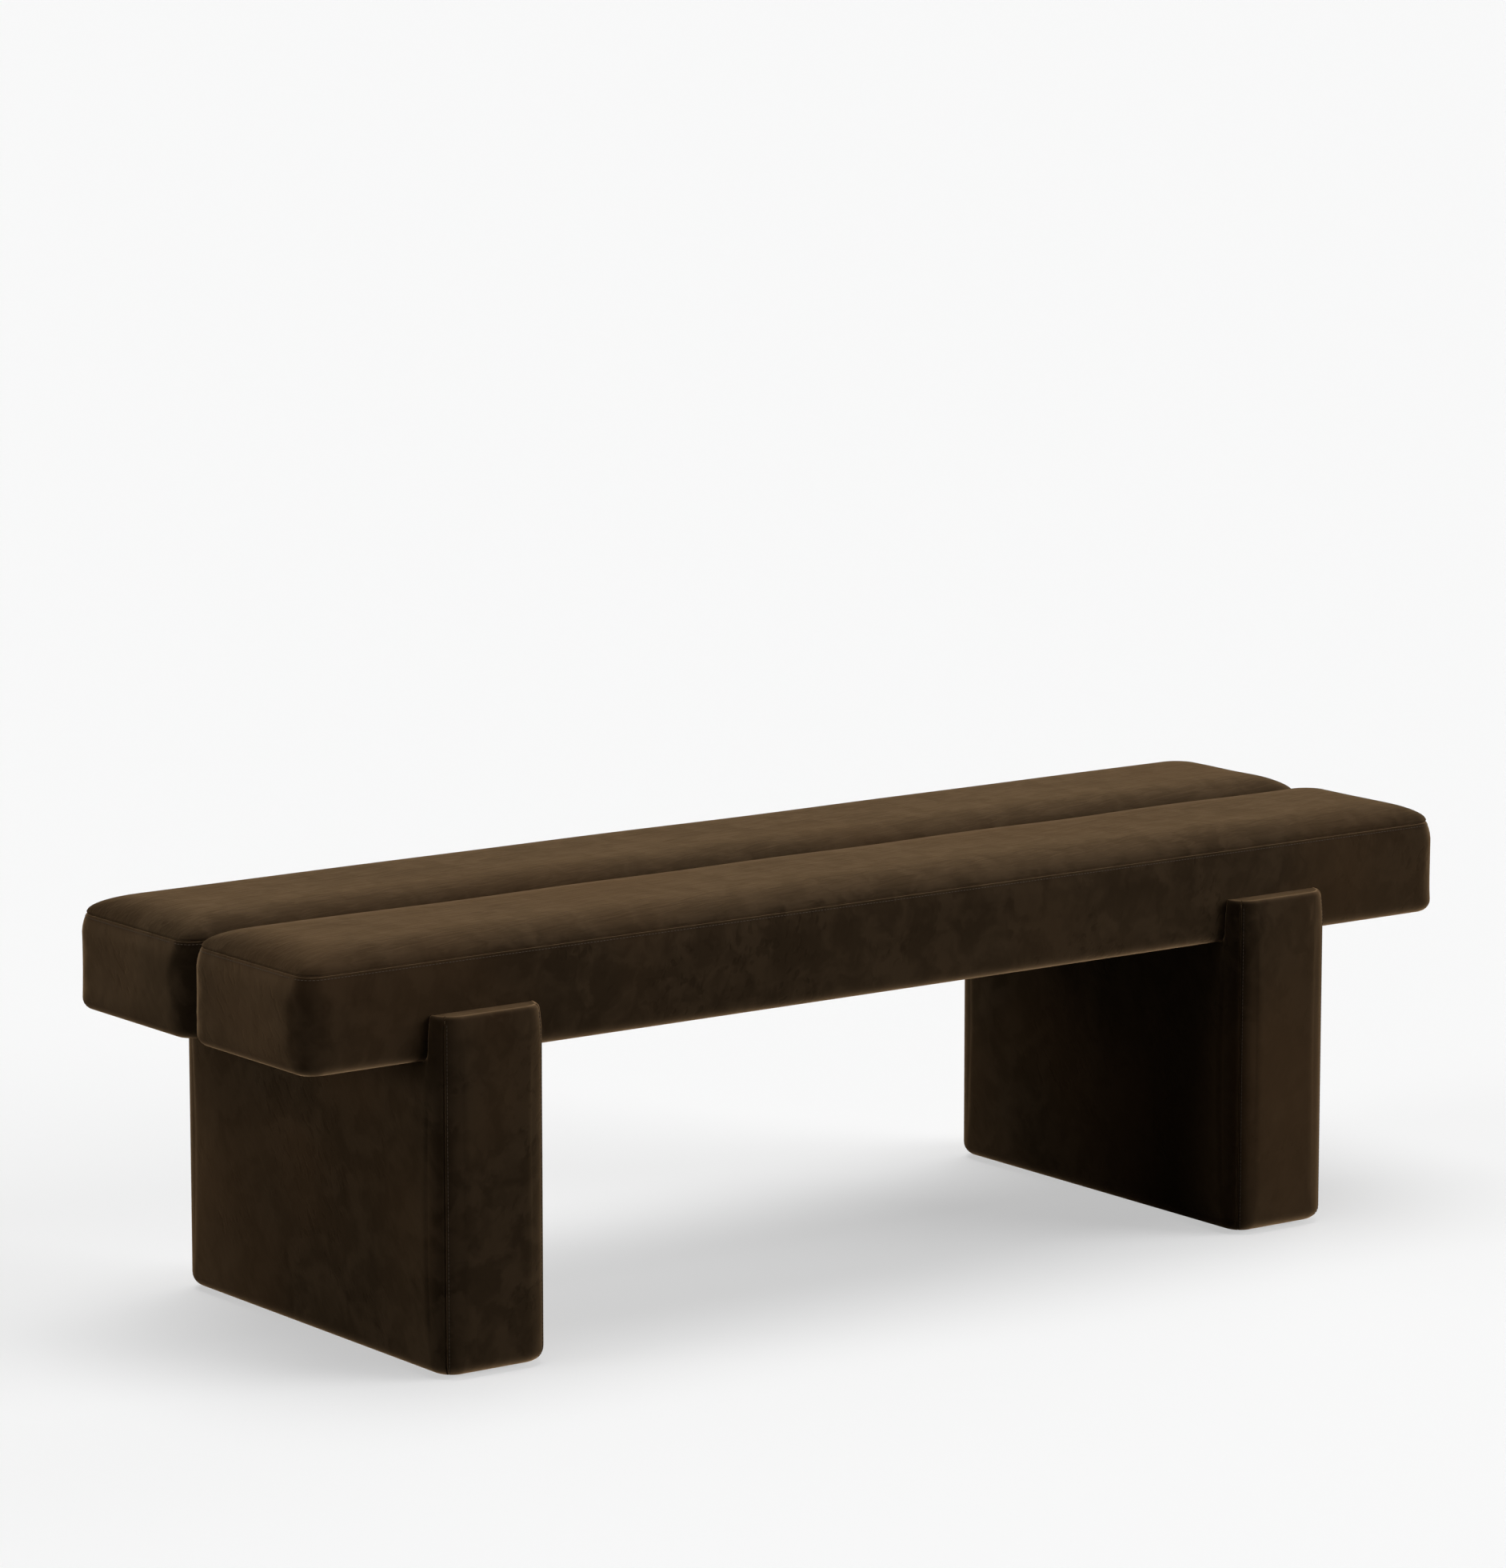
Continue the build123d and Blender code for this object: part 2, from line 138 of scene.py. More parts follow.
class BenchForm(bpy.types.PropertyGroup):
    """Sizes of the velvet that the frame's boxes don't give."""

    upright_corner: metres("Seat corner", "Radius of a beam's upright corners", 0.026)
    bottom_roll: metres("Seat bottom roll", "Radius under a beam's sides", 0.013)
    seat_turn_under: metres("Seat turn-under", "Velvet turned under a beam", 0.036)
    draw_height: metres("Drawn-in height", "Height of side that is drawn in at the seam", 0.024)
    crown_fullness: amount("Crown fullness", "Power of the crown's profile, fuller when low", 0.63)
    crown_corner: amount("Crown corner", "How fast the crown's contours grow rounder inwards", 0.15)
    crown_roll: metres("Crown roll", "Width of the crown's roll along its edges", 0.056)
    crown_slope: degrees("Crown slope", "Angle at which the crown rises out of its seam", 52)
    crown_middle: metres("Crown middle", "Half the width of the flat strip along a crown", 0.006)
    leg_corner: metres("Leg corner", "Radius of a leg's upright corners", 0.028)
    leg_bottom_roll: metres("Leg bottom roll", "Radius round a leg's foot", 0.015)
    leg_turn_under: metres("Leg turn-under", "Velvet turned under a leg", 0.0225)
    tab_lean: metres("Tab lean", "How far a tab is drawn in at its top", 0.003)
    tab_lean_height: metres("Tab lean height", "Height over which a tab is drawn in", 0.036)
    rim_roll: metres("Rim roll", "Radius round a tab's top", 0.0045)
    notch_fillet: metres("Notch fillet", "Radius in the corners of the notch", 0.012)
    edge_roll: metres("Edge roll", "Radius at which velvet turns over an edge", 0.003)
    seam_roll: metres("Seam roll", "Radius at which panels turn into a seam", 0.0017)
    seam_slit: metres("Seam slit", "Half the slit between two sewn panels", 0.0003)
    welt_radius: metres("Welt", "Radius of the fold of cloth in a seam", 0.0007)
    stitch_radius: metres("Thread", "Radius of the thread", 0.00032)
    stitch_length: metres("Stitch", "Length of a stitch", 0.0034)
    stitch_pitch: metres("Stitch pitch", "Distance from a stitch to the next", 0.0040)
    stitch_offset: metres("Topstitch", "Distance of the topstitch from its seam", 0.0030)
    notch_clearance: metres("Notch clearance", "Play between the seat and a tab", 0.0003)
    crown_puff: metres("Crown puff", "Most that a top may swell", 0.004)
    side_puff: metres("Side puff", "Most that a side may swell", 0.0009)
    leg_puff: metres("Leg puff", "Most that a leg's cover may swell", 0.0009)
    unevenness: metres("Unevenness", "Height of the foam's slow waves", 0.00035)
    panel_middle: metres("Middle", "Height that all panels look away from", 0.28)
    mesh_step: metres("Mesh step", "Usual size of a mesh face", 0.007)
    puff_frames: IntProperty(name="Puff frames", description="Steps of the cloth simulation", default=20)
    pressure: amount("Pressure", "Pressure of the foam under the cloth", 4.0)


class BenchVelvet(bpy.types.PropertyGroup):
    """Colours of the velvet and the thread."""

    pile: colour("Pile", "Velvet seen down its pile", (0.0042, 0.0026, 0.0014))
    raised: colour("Raised pile", "Velvet where its pile is brushed up", (0.0192, 0.0125, 0.0071))
    # Painted light: on the tops, the pile colours are painted lighter and the sheen dimmer than on the sides.
    # It is a lit copy of the same velvet.
    pile_top_painted_lighter: colour("Pile on top", "The pile's colour on the tops", (0.0160, 0.0101, 0.0055))
    raised_top_painted_lighter: colour("Raised pile on top", "The same, painted lighter on the tops", (0.0365, 0.0236, 0.0132))
    warm: colour("Warm pile", "Velvet where it looks redder", (0.0250, 0.0130, 0.0058))
    sheen: colour("Sheen", "Light along the tips of the pile", (0.600, 0.386, 0.208))
    sheen_top_painted_dimmer: colour("Sheen on top", "The same on the tops", (0.136, 0.088, 0.046))
    sheen_weight: fraction("Sheen weight", "Strength of the sheen", 1.0)
    sheen_roughness: fraction("Sheen roughness", "Spread of the sheen", 0.45)
    sheen_roughness_top: fraction("Sheen roughness on top", "Spread of the sheen on the tops", 0.55)
    thread: colour("Thread", "Sewing thread", (0.060, 0.040, 0.022))


class BenchStage(bpy.types.PropertyGroup):
    """Floor, lamps and camera."""

    floor_colour: colour("Floor", "Colour of the floor", (0.94, 0.94, 0.94))
    floor_bounce: fraction("Floor bounce", "Share of light that the floor throws onto the bench", 0.12)
    shadow_depth: fraction("Shadow depth", "How dark a full shadow shows on the floor", 0.47)
    floor_size: metres("Floor size", "Side of the floor", 120.0)
    sky: amount("Sky", "Strength of the even light from all round", 0.045)
    overhead: amount("Overhead lamp", "Share of light from the wide lamp above", 0.57)
    left_lamp: amount("Left lamp", "Share of light from the low soft lamp at the left", 0.78)
    right_lamp: amount("Right lamp", "Share of light from the low soft lamp at the right front", 1.40)
    rear_lamp: amount("Rear lamp", "Share of light from the low soft lamp at the right rear", 0.30)
    camera_place: FloatVectorProperty(
        name="Camera place", description="Where the camera stands", default=(-4.1573, -5.5994, 1.7143),
        subtype="XYZ", unit="LENGTH", size=3)
    camera_turn: degrees("Camera turn", "Turn from looking along +Y towards +X", 36.341)
    camera_tilt: degrees("Camera tilt", "Tilt below the horizon", 9.770)
    camera_lens: amount("Lens", "Focal length in millimetres on a 36 mm side", 151.52)


def form():
    """The bench's sizes."""
    return bpy.context.scene.bench_form


def velvet():
    """The velvet's colours."""
    return bpy.context.scene.bench_velvet


def stage():
    """The floor's, lamps' and camera's settings."""
    return bpy.context.scene.bench_stage


# Grids and outlines

def quads(index):
    """Faces between neighbouring rows and columns of a grid of vertex numbers."""
    return np.stack([index[:-1, :-1], index[:-1, 1:], index[1:, 1:], index[1:, :-1]], axis=-1).reshape(-1, 4)


def numbered(rows, columns, start=0):
    """Vertex numbers of a grid, row by row."""
    return start + np.arange(rows * columns).reshape(rows, columns)


def closed(index):
    """A grid of vertex numbers whose last column is its first again."""
    return np.concatenate([index, index[:, :1]], axis=1)


def arc_columns(angles, side_x, side_y):
    """Columns round one corner: its core point, as shares of the core's half sizes, and the normals."""
    angles = np.radians(angles)
    sides = np.full_like(angles, side_x), np.full_like(angles, side_y)
    return np.stack([*sides, np.cos(angles), np.sin(angles)])


def straight_columns(start, end, normal, shares):
    """Columns along a side: the core point goes from start to end by shares, and the normal stays."""
    core = np.outer(start, 1 - shares) + np.outer(end, shares)
    return np.concatenate([core, np.outer(normal, np.ones_like(shares))])


def inner_shares(count):
    """Shares of a side for its inner columns, without its two ends."""
    return np.arange(1, count) / count


def loop_columns(long_count, short_count, arc_count):
    """Columns once round a rounded rectangle, from the left end of the front left corner, anticlockwise."""
    arc = np.linspace(0, 90, arc_count + 1)
    long_shares = inner_shares(long_count)
    short_shares = inner_shares(short_count)
    return np.concatenate([
        arc_columns(180 + arc, -1, -1),
        straight_columns((-1, -1), (1, -1), (0, -1), long_shares),
        arc_columns(270 + arc, 1, -1),
        straight_columns((1, -1), (1, 1), (1, 0), short_shares),
        arc_columns(arc, 1, 1),
        straight_columns((1, 1), (-1, 1), (0, 1), long_shares),
        arc_columns(90 + arc, -1, 1),
        straight_columns((-1, 1), (-1, -1), (-1, 0), short_shares),
    ], axis=1)


def carry(columns, place, radius, margin, height):
    """A profile carried round a rounded rectangle. Each point is a core point plus its normal times the
    corner radius, and the core is the rectangle less the margin and the radius."""
    core_x, core_y, normal_x, normal_y = columns
    x = place.x + core_x * (place.half_x - margin - radius) + radius * normal_x
    y = place.y + core_y * (place.half_y - margin - radius) + radius * normal_y
    return np.stack(np.broadcast_arrays(x, y, height), axis=-1)


def quarter_turn(count):
    """Angles of a quarter turn in a number of steps."""
    return np.linspace(0, np.pi / 2, count + 1)


def sagitta(height, depth, rise):
    """How far a wide circle has curved in at a rise, where it curves in by a depth over a height."""
    radius = (height**2 + depth**2) / (2 * depth)
    return radius - np.sqrt(radius**2 - rise**2)


def ease(share):
    """A smooth step from 0 to 1."""
    share = np.clip(share, 0, 1)
    return share * share * (3 - 2 * share)


def steps(length):
    """How many mesh steps a length is divided into."""
    return max(2, int(round(length / form().mesh_step)))


# Meshes and pieces

def new_mesh(name, points, faces, middle):
    """A mesh whose faces look away from a middle point."""
    mesh = bpy.data.meshes.new(name)
    mesh.from_pydata(points.reshape(-1, 3).tolist(), [], [list(face) for face in faces])
    mesh.update()
    turn_outwards(mesh, middle)
    return mesh


def make_piece(name, points, faces, material, middle):
    """A smooth piece of the bench with its material."""
    mesh = new_mesh(name, points, faces, middle)
    mesh.shade_smooth()
    mesh.materials.append(material)
    piece = bpy.data.objects.new(name, mesh)
    bpy.context.scene.collection.objects.link(piece)
    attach(piece, BODY)
    return piece


def turn_outwards(mesh, middle):
    """Turns all faces over if, weighed by area, they look towards the middle."""
    count = len(mesh.polygons)
    normals = np.empty(count * 3)
    centres = np.empty(count * 3)
    areas = np.empty(count)
    mesh.polygons.foreach_get("normal", normals)
    mesh.polygons.foreach_get("center", centres)
    mesh.polygons.foreach_get("area", areas)
    away = (normals * (centres - np.tile(middle, count))).reshape(-1, 3).sum(axis=1)
    if (away * areas).sum() < 0:
        mesh.flip_normals()


def weld(piece):
    """Joins points that lie on each other: the poles of stitches and welts, and the tops' last rings."""
    mesh = bmesh.new()
    mesh.from_mesh(piece.data)
    bmesh.ops.remove_doubles(mesh, verts=mesh.verts, dist=form().stitch_radius / 10)
    mesh.to_mesh(piece.data)
    mesh.free()
    return piece


def read_points(mesh):
    """A mesh's points as an array."""
    points = np.empty(len(mesh.vertices) * 3)
    mesh.vertices.foreach_get("co", points)
    return points.reshape(-1, 3)


def simulate(points, faces, held):
    """The points of a panel after its cloth is blown up against its held edges."""
    mesh = new_mesh("panel", points, faces, (0, 0, form().panel_middle))
    panel = bpy.data.objects.new("panel", mesh)
    scene = bpy.context.scene
    scene.collection.objects.link(panel)
    group = panel.vertex_groups.new(name="held")
    group.add(np.flatnonzero(held).tolist(), 1.0, "REPLACE")
    cloth = panel.modifiers.new("cloth", "CLOTH")
    cloth.settings.vertex_group_mass = group.name
    cloth.settings.quality = CLOTH_QUALITY
    cloth.settings.use_pressure = True
    cloth.settings.uniform_pressure_force = form().pressure
    cloth.settings.effector_weights.gravity = 0
    for number in range(1, form().puff_frames + 1):
        scene.frame_set(number)
    blown = read_points(panel.evaluated_get(bpy.context.evaluated_depsgraph_get()).data)
    scene.frame_set(1)
    bpy.data.objects.remove(panel)
    bpy.data.meshes.remove(mesh)
    return blown


def outward_normals(points, faces):
    """Point normals of a panel, which look away from the middle of its beam or leg."""
    mesh = new_mesh("panel", points, faces, (0, 0, form().panel_middle))
    normals = np.empty(len(mesh.vertices) * 3)
    mesh.vertices.foreach_get("normal", normals)
    bpy.data.meshes.remove(mesh)
    return normals.reshape(-1, 3)


def puff(points, faces, slack, cap):
    """Swells a panel: each point moves as the simulation moves it, as far as its slack times a cap. Gives its
    points, and its normals times its slack."""
    normals = outward_normals(points, faces)
    shift = simulate(points, faces, slack == 0) - points
    length = np.linalg.norm(shift, axis=1)
    shift *= (np.minimum(length, cap * slack) / np.maximum(length, cap / 100))[:, None]
    return points + shift, normals * slack[:, None]


def puffed(shape, place, cap, *more):
    """A beam's or leg's panel, shaped at the middle of the scene and swelled: its points, faces and lean."""
    points, faces, slack = shape(place._replace(x=0, y=0), *more)
    points, lean = puff(points.reshape(-1, 3), faces, slack.ravel(), cap)
    return points, faces, lean


def waves(points, seed):
    """The foam's slow waves: a mean of plane waves with seeded directions and phases."""
    chance = np.random.default_rng(seed)
    directions = chance.normal(size=(3, WAVE_COUNT)) * WAVE_DENSITY
    phases = chance.uniform(0, 2 * np.pi, WAVE_COUNT)
    return WAVE_GAIN * np.sin(points @ directions + phases).mean(axis=1)[:, None]


def place_panel(name, panel, place, turn_x, turn_y, material):
    """A puffed panel mirrored or not, moved to its beam or leg, with waves that its name's length seeds."""
    points, faces, lean = panel
    turn = np.array([turn_x, turn_y, 1])
    moved = points * turn + np.array([place.x, place.y, 0])
    moved += lean * turn * waves(moved, len(name)) * form().unevenness
    return make_piece(name, moved, faces, material, (place.x, place.y, form().panel_middle))


# Seat beams

def seat_columns(beam):
    """Columns round a beam, and how many there are along it, across it and round a corner."""
    counts = (steps(2 * beam.half_x), steps(2 * beam.half_y - 2 * form().upright_corner), CORNER_STEPS)
    return loop_columns(*counts), counts


def crown_contour(beam, margin):
    """Corner radius of the crown's contour at a margin: it grows inwards until half the width is used up."""
    radius = form().upright_corner - beam.inset + form().crown_corner * (margin - beam.inset)
    return np.minimum(radius, beam.half_y - margin)


def top_panel(beam):
    """The crown: rings from the seam in to the strip along its middle. The first turn out of the seam up to
    the crown's slope. The height of the others is a power of the parabola over their margin, and their
    corners grow rounder inwards."""
    columns, counts = seat_columns(beam)
    roll = form().seam_roll
    turn = np.linspace(-np.pi / 2, np.pi / 2 - form().crown_slope, 6)
    turn_margin = beam.inset + roll * (1 - np.cos(turn))
    turn_height = form().seam_slit + roll * (1 + np.sin(turn))
    rings = np.arange(1, CROWN_RINGS + 1) / CROWN_RINGS
    shares = np.append(rings**CROWN_CROWDING, CROWN_LAST)
    margin = turn_margin[-1] + shares * form().crown_roll
    rise = beam.top - beam.seam - form().crown_puff - turn_height[-1]
    height = turn_height[-1] + rise * (1 - (1 - np.minimum(shares, 1)) ** 2) ** form().crown_fullness
    margin = np.concatenate([turn_margin, margin, [beam.half_y - form().crown_middle]])[:, None]
    height = np.concatenate([turn_height, height, [height[-1]]])[:, None]
    radius = crown_contour(beam, margin)
    points = carry(columns, beam, radius, margin, beam.seam + height)
    slack = ease((margin - turn_margin[-1]) / form().upright_corner)
    slack = np.broadcast_to(slack, points.shape[:2])
    index = numbered(*points.shape[:2])
    faces = quads(closed(index)).tolist() + middle_faces(index[-1], counts)
    return points.reshape(-1, 3), faces, slack.ravel()


def middle_faces(ring, counts):
    """Faces that close the last ring: quads from its front to its rear, and one face at each end."""
    long_count, short_count, arc_count = counts
    front = arc_count
    right = front + long_count
    rear = right + 2 * arc_count + short_count
    left = rear + long_count
    pair = np.stack([ring[front : right + 1], ring[rear : left + 1][::-1]])
    left_end = np.concatenate([ring[left:], ring[: front + 1]])
    return quads(pair).tolist() + [ring[right : rear + 1].tolist(), left_end.tolist()]


def drawn_in(depth):
    """How far a beam's side is drawn in at a depth below its seam."""
    height = form().draw_height
    return sagitta(height, beam_sizes(BEAMS[0]).inset, np.maximum(height - depth, 0))


def boxing_profile(beam):
    """Margins and heights of a beam's side from the seam down: a roll out of the seam, the drawn-in part, the
    upright part, the bottom roll and the turn-under."""
    roll = form().seam_roll
    start = form().seam_slit
    turn = quarter_turn(4)
    out = start + roll * (1 - np.cos(turn))
    seam_margin = drawn_in(start + roll) + roll * (1 - np.sin(turn))
    depths = np.linspace(start + roll, beam.seam - beam.underside - form().bottom_roll, SIDE_ROWS + 1)[1:]
    low = quarter_turn(6)[1:]
    low_margin = form().bottom_roll * (1 - np.cos(low))
    low_height = beam.underside + form().bottom_roll * (1 - np.sin(low))
    under = np.linspace(form().bottom_roll, form().seat_turn_under, 4)[1:]
    margin = np.concatenate([seam_margin, drawn_in(depths), low_margin, under])
    flat = np.full_like(under, beam.underside)
    height = np.concatenate([beam.seam - out, beam.seam - depths, low_height, flat])
    return margin[:, None], height[:, None]


def boxing_panel(beam, legs):
    """A beam's side: the boxing's profile carried round the beam. It has no slack behind the tabs."""
    columns, counts = seat_columns(beam)
    margin, height = boxing_profile(beam)
    radius = np.maximum(form().upright_corner - margin, form().seam_roll)
    points = carry(columns, beam, radius, margin, height)
    index = numbered(*points.shape[:2])
    reach = form().upright_corner
    slack = ease((beam.seam - form().seam_roll - height) / reach) * ease((height - beam.underside) / reach)
    slack = np.broadcast_to(slack, index.shape).copy()
    for leg in legs:
        beside = np.abs(points[..., 0] - leg.x) - leg.half_x
        above = points[..., 2] - leg.top
        slack *= ease(np.maximum(beside, above) / reach)
    return points.reshape(-1, 3), quads(closed(index)), slack.ravel()


# Slab legs

def corner_steps(leg):
    """Distances from a corner's seam along the velvet, dense at the seam and at the notch."""
    straight = leg.half_y - form().leg_corner
    past = np.arcsin((leg.notch_y - straight) / form().leg_corner)
    half_arc = form().leg_corner * np.pi / 4
    notch = half_arc - form().leg_corner * past
    quarter = quarter_turn(4)
    near = form().seam_slit + form().seam_roll * (1 - np.cos(quarter))
    turned = notch - form().edge_roll * (1 - np.sin(quarter))
    far = np.linspace(near[-1], turned[0], 5)[1:-1]
    return np.concatenate([near, far, turned, [half_arc]])


def turned_depth(distance, radius):
    """How deep velvet lies under its outer face near an edge over which it turns in a quarter circle."""
    left = np.clip(radius - distance, 0, radius)
    return radius - np.sqrt(radius**2 - left**2)


def cover_columns(leg, start_side, end_side, seam_angle, length):
    """Columns of one upright cover, from the middle of one rounded corner to the middle of the next, and
    their distances from the nearer seam. They stand close where the notch's fillets are."""
    distance = corner_steps(leg)
    angle = np.degrees(distance / form().leg_corner)
    normal_angle = np.radians(seam_angle + 45)
    normal = (np.cos(normal_angle), np.sin(normal_angle))
    fillet = form().notch_fillet * np.arange(1, 5) / 4
    regular = fillet[-1] + inner_shares(steps(length)) * (length - 2 * fillet[-1])
    along = np.concatenate([fillet, regular, length - fillet[::-1]])
    columns = np.concatenate([
        arc_columns(seam_angle + angle, *start_side),
        straight_columns(start_side, end_side, normal, along / length),
        arc_columns(seam_angle + 90 - angle[::-1], *end_side),
    ], axis=1)
    from_corner = np.minimum(along, length - along)
    return columns, np.concatenate([distance, from_corner + distance[-1], distance[::-1]])


def tab_inset(leg, z):
    """How far a tab is drawn in at a height."""
    height = form().tab_lean_height
    return sagitta(height, form().tab_lean, np.clip(z - leg.top + height, 0, height))


def foot_profile(leg):
    """Margins and heights of a leg's foot from its turn-under up to the end of its bottom roll."""
    roll = form().leg_bottom_roll
    under = np.linspace(form().leg_turn_under, roll, 3)[:-1]
    turn = np.linspace(np.pi / 2, 0, 8)
    margin = np.concatenate([under, roll * (1 - np.cos(turn))])
    height = np.concatenate([np.full_like(under, leg.floor), leg.floor + roll * (1 - np.sin(turn))])
    return margin[:, None], height[:, None]


def upright_rows(low, high, count):
    """Heights of rows between two heights, which may differ from column to column."""
    shares = np.linspace(0, 1, count + 1)[1:, None]
    return low + (high - low) * shares


def edge_rows(top, radius):
    """Margins and heights of a quarter circle that turns a cover's top edge inwards."""
    turn = quarter_turn(5)[1:, None]
    return radius * (1 - np.cos(turn)), top - radius * (1 - np.sin(turn))


def cover_slack(distance, heights, low, high):
    """Slack of a leg cover's points: none at its seams, foot and top, and full a corner's radius away."""
    reach = form().leg_corner
    side = ease((distance - form().seam_roll) / reach)
    return side * ease((heights - low) / reach) * ease((high - heights) / reach)


def carry_cover(leg, columns, distance, margin, height):
    """A leg cover's points, sunk near its seams and drawn in at the tabs."""
    margin = margin + turned_depth(distance - form().seam_slit, form().seam_roll) + tab_inset(leg, height)
    radius = np.maximum(form().leg_corner - margin, form().seam_roll)
    return carry(columns, leg, radius, margin, height)


def outer_places(leg, columns):
    """Where a cover's columns stand on the leg's outline."""
    return carry(columns, leg, form().leg_corner, 0, 0)


def front_cover(leg):
    """The front cover: the foot's profile, upright rows and a turned top edge, carried round two half corners
    and the narrow side between them."""
    length = 2 * (leg.half_x - form().leg_corner)
    columns, distance = cover_columns(leg, (-1, -1), (1, -1), 225, length)
    foot_margin, foot_height = foot_profile(leg)
    foot_top = foot_height[-1, 0]
    rows = upright_rows(foot_top, leg.top - form().rim_roll, steps(leg.top - foot_top))
    edge_margin, edge_height = edge_rows(leg.top, form().rim_roll)
    margin = np.concatenate([foot_margin, np.zeros_like(rows), edge_margin])
    height = np.concatenate([foot_height, rows, edge_height])
    points = carry_cover(leg, columns, distance, margin, height)
    slack = cover_slack(distance, height, foot_top, leg.top)
    return points, quads(numbered(*points.shape[:2])), slack


def notch_gap(leg, y, z):
    """Distance of places on a side cover from the notch's outline: a wall and a floor joined by a fillet."""
    fillet = form().notch_fillet
    inwards = np.maximum(fillet - (leg.notch_y - np.abs(y - leg.y)), 0)
    below = np.maximum(leg.notch + fillet - z, 0)
    return np.hypot(inwards, below) - fillet


def notch_floor(leg, y):
    """Height of the notch's outline: its floor, and the fillet up to its walls."""
    fillet = form().notch_fillet
    inwards = np.clip(fillet - (leg.notch_y - np.abs(y - leg.y)), 0, fillet)
    return leg.notch + fillet - np.sqrt(fillet**2 - inwards**2)


def ear_profile(leg):
    """Margins and heights of a side cover's rows beside a tab, up to its turned top edge."""
    rows = upright_rows(leg.notch - form().edge_roll, leg.top - form().rim_roll, EAR_ROWS)
    edge_margin, edge_height = edge_rows(leg.top, form().rim_roll)
    return np.concatenate([np.zeros_like(rows), edge_margin]), np.concatenate([rows, edge_height])


def inner_cover(leg):
    """The right side's cover: a sheet up to the notch, whose edge is turned in along the notch's floor,
    fillets and walls, and two ears up beside the tabs."""
    length = 2 * (leg.half_y - form().leg_corner)
    columns, distance = cover_columns(leg, (1, -1), (1, 1), 315, length)
    y = outer_places(leg, columns)[:, 1]
    foot_margin, foot_height = foot_profile(leg)
    foot_top = foot_height[-1, 0]
    edge = form().edge_roll
    rows = upright_rows(foot_top, leg.notch - edge, steps(leg.notch - foot_top)) + 0 * distance
    shape = (1, distance.size)
    margin = np.concatenate([np.tile(foot_margin, shape), np.zeros_like(rows)])
    height = np.concatenate([np.tile(foot_height, shape), rows])
    sheet = carry_cover(leg, columns, distance, margin, height)
    slack = cover_slack(distance, height, foot_top, leg.notch)
    index = numbered(*sheet.shape[:2])
    points = [sheet.reshape(-1, 3)]
    faces = [quads(index)]
    inside = np.flatnonzero(np.abs(y - leg.y) < leg.notch_y - form().seam_slit)
    for chosen in (np.arange(inside[0]), np.arange(inside[-1] + 1, y.size)):
        ear_margin, ear_height = ear_profile(leg)
        depth = turned_depth(notch_gap(leg, y[chosen], ear_height), edge)
        margin = np.maximum(ear_margin, depth)
        grown = carry_cover(leg, columns[:, chosen], distance[chosen], margin, ear_height)
        add_rows(points, faces, index[-1, chosen], grown)
    chosen = np.arange(inside[0] - 1, inside[-1] + 2)
    below = edge * (1 - np.sin(quarter_turn(5)[1:, None]))
    rim_height = leg.notch - edge + (notch_floor(leg, y[chosen]) - leg.notch + edge) * (1 - below / edge)
    depth = turned_depth(notch_gap(leg, y[chosen], rim_height), edge)
    grown = carry_cover(leg, columns[:, chosen], distance[chosen], depth, rim_height)
    add_rows(points, faces, index[-1, chosen], grown)
    points = np.concatenate(points)
    all_slack = np.zeros(len(points))
    all_slack[: slack.size] = slack.ravel()
    return points, np.concatenate(faces), all_slack


def add_rows(points, faces, first_row, grown):
    """Adds rows of points above a row that is there already."""
    start = sum(len(part) for part in points)
    points.append(grown.reshape(-1, 3))
    faces.append(quads(np.vstack([first_row, numbered(*grown.shape[:2], start=start)])))


def tab_border(leg):
    """The front tab's top border from left to right: the last rows of the left ear, the front cover and the
    right ear."""
    front = front_cover(leg)[0][-1]
    right = side_border(leg)
    left = right[::-1] * np.array([-1, 1, 1]) + np.array([2 * leg.x, 0, 0])
    return np.concatenate([left, front, right])


def side_border(leg):
    """The last row of the right cover's front ear, from the seam to the notch."""
    distance = corner_steps(leg)[:-1]
    columns = arc_columns(315 + np.degrees(distance / form().leg_corner), 1, -1)
    places = outer_places(leg, columns)
    margin, height = ear_profile(leg)
    depth = turned_depth(notch_gap(leg, places[:, 1], height), form().edge_roll)
    return carry_cover(leg, columns, distance, np.maximum(margin, depth)[-1:], height[-1:])[0]


def strip_panel(leg):
    """The strip over the tabs and along the notch: straight lines back from the front tab's border to the
    notch, down its wall, round the fillet, along its floor, and the same up to the rear tab."""
    border_x, border_y, top = tab_border(leg).T
    x = np.zeros_like(border_x)
    shares = ease(np.linspace(0, 1, 6))[:, None]
    lip = form().seam_roll
    turn = quarter_turn(3)[1:, None]
    wall = leg.y - leg.notch_y
    tab_y = border_y + np.maximum(wall - lip - border_y, 0) * shares
    turn_y = wall - lip + lip * np.sin(turn)
    turn_z = top - lip * (1 - np.cos(turn))
    fillet = form().notch_fillet
    floor = leg.notch - form().notch_clearance
    bend = quarter_turn(5)[:, None]
    bend_y = wall + fillet * (1 - np.cos(bend))
    bend_z = floor + fillet * (1 - np.sin(bend))
    y = np.concatenate([tab_y, turn_y + 0 * x, bend_y + 0 * x])
    z = np.concatenate([top + 0 * tab_y, turn_z, bend_z + 0 * x])
    y = np.concatenate([y, 2 * leg.y - y[::-1]])
    z = np.concatenate([z, z[::-1]])
    turned = np.maximum(form().edge_roll, turned_depth(leg.top - z, form().rim_roll))
    reach = leg.half_x - tab_inset(leg, z) - turned
    x = leg.x + (border_x - leg.x) * reach / reach[0]
    return np.stack([x, y, z], axis=-1).reshape(-1, 3), quads(numbered(*y.shape))


# Seams and stitches

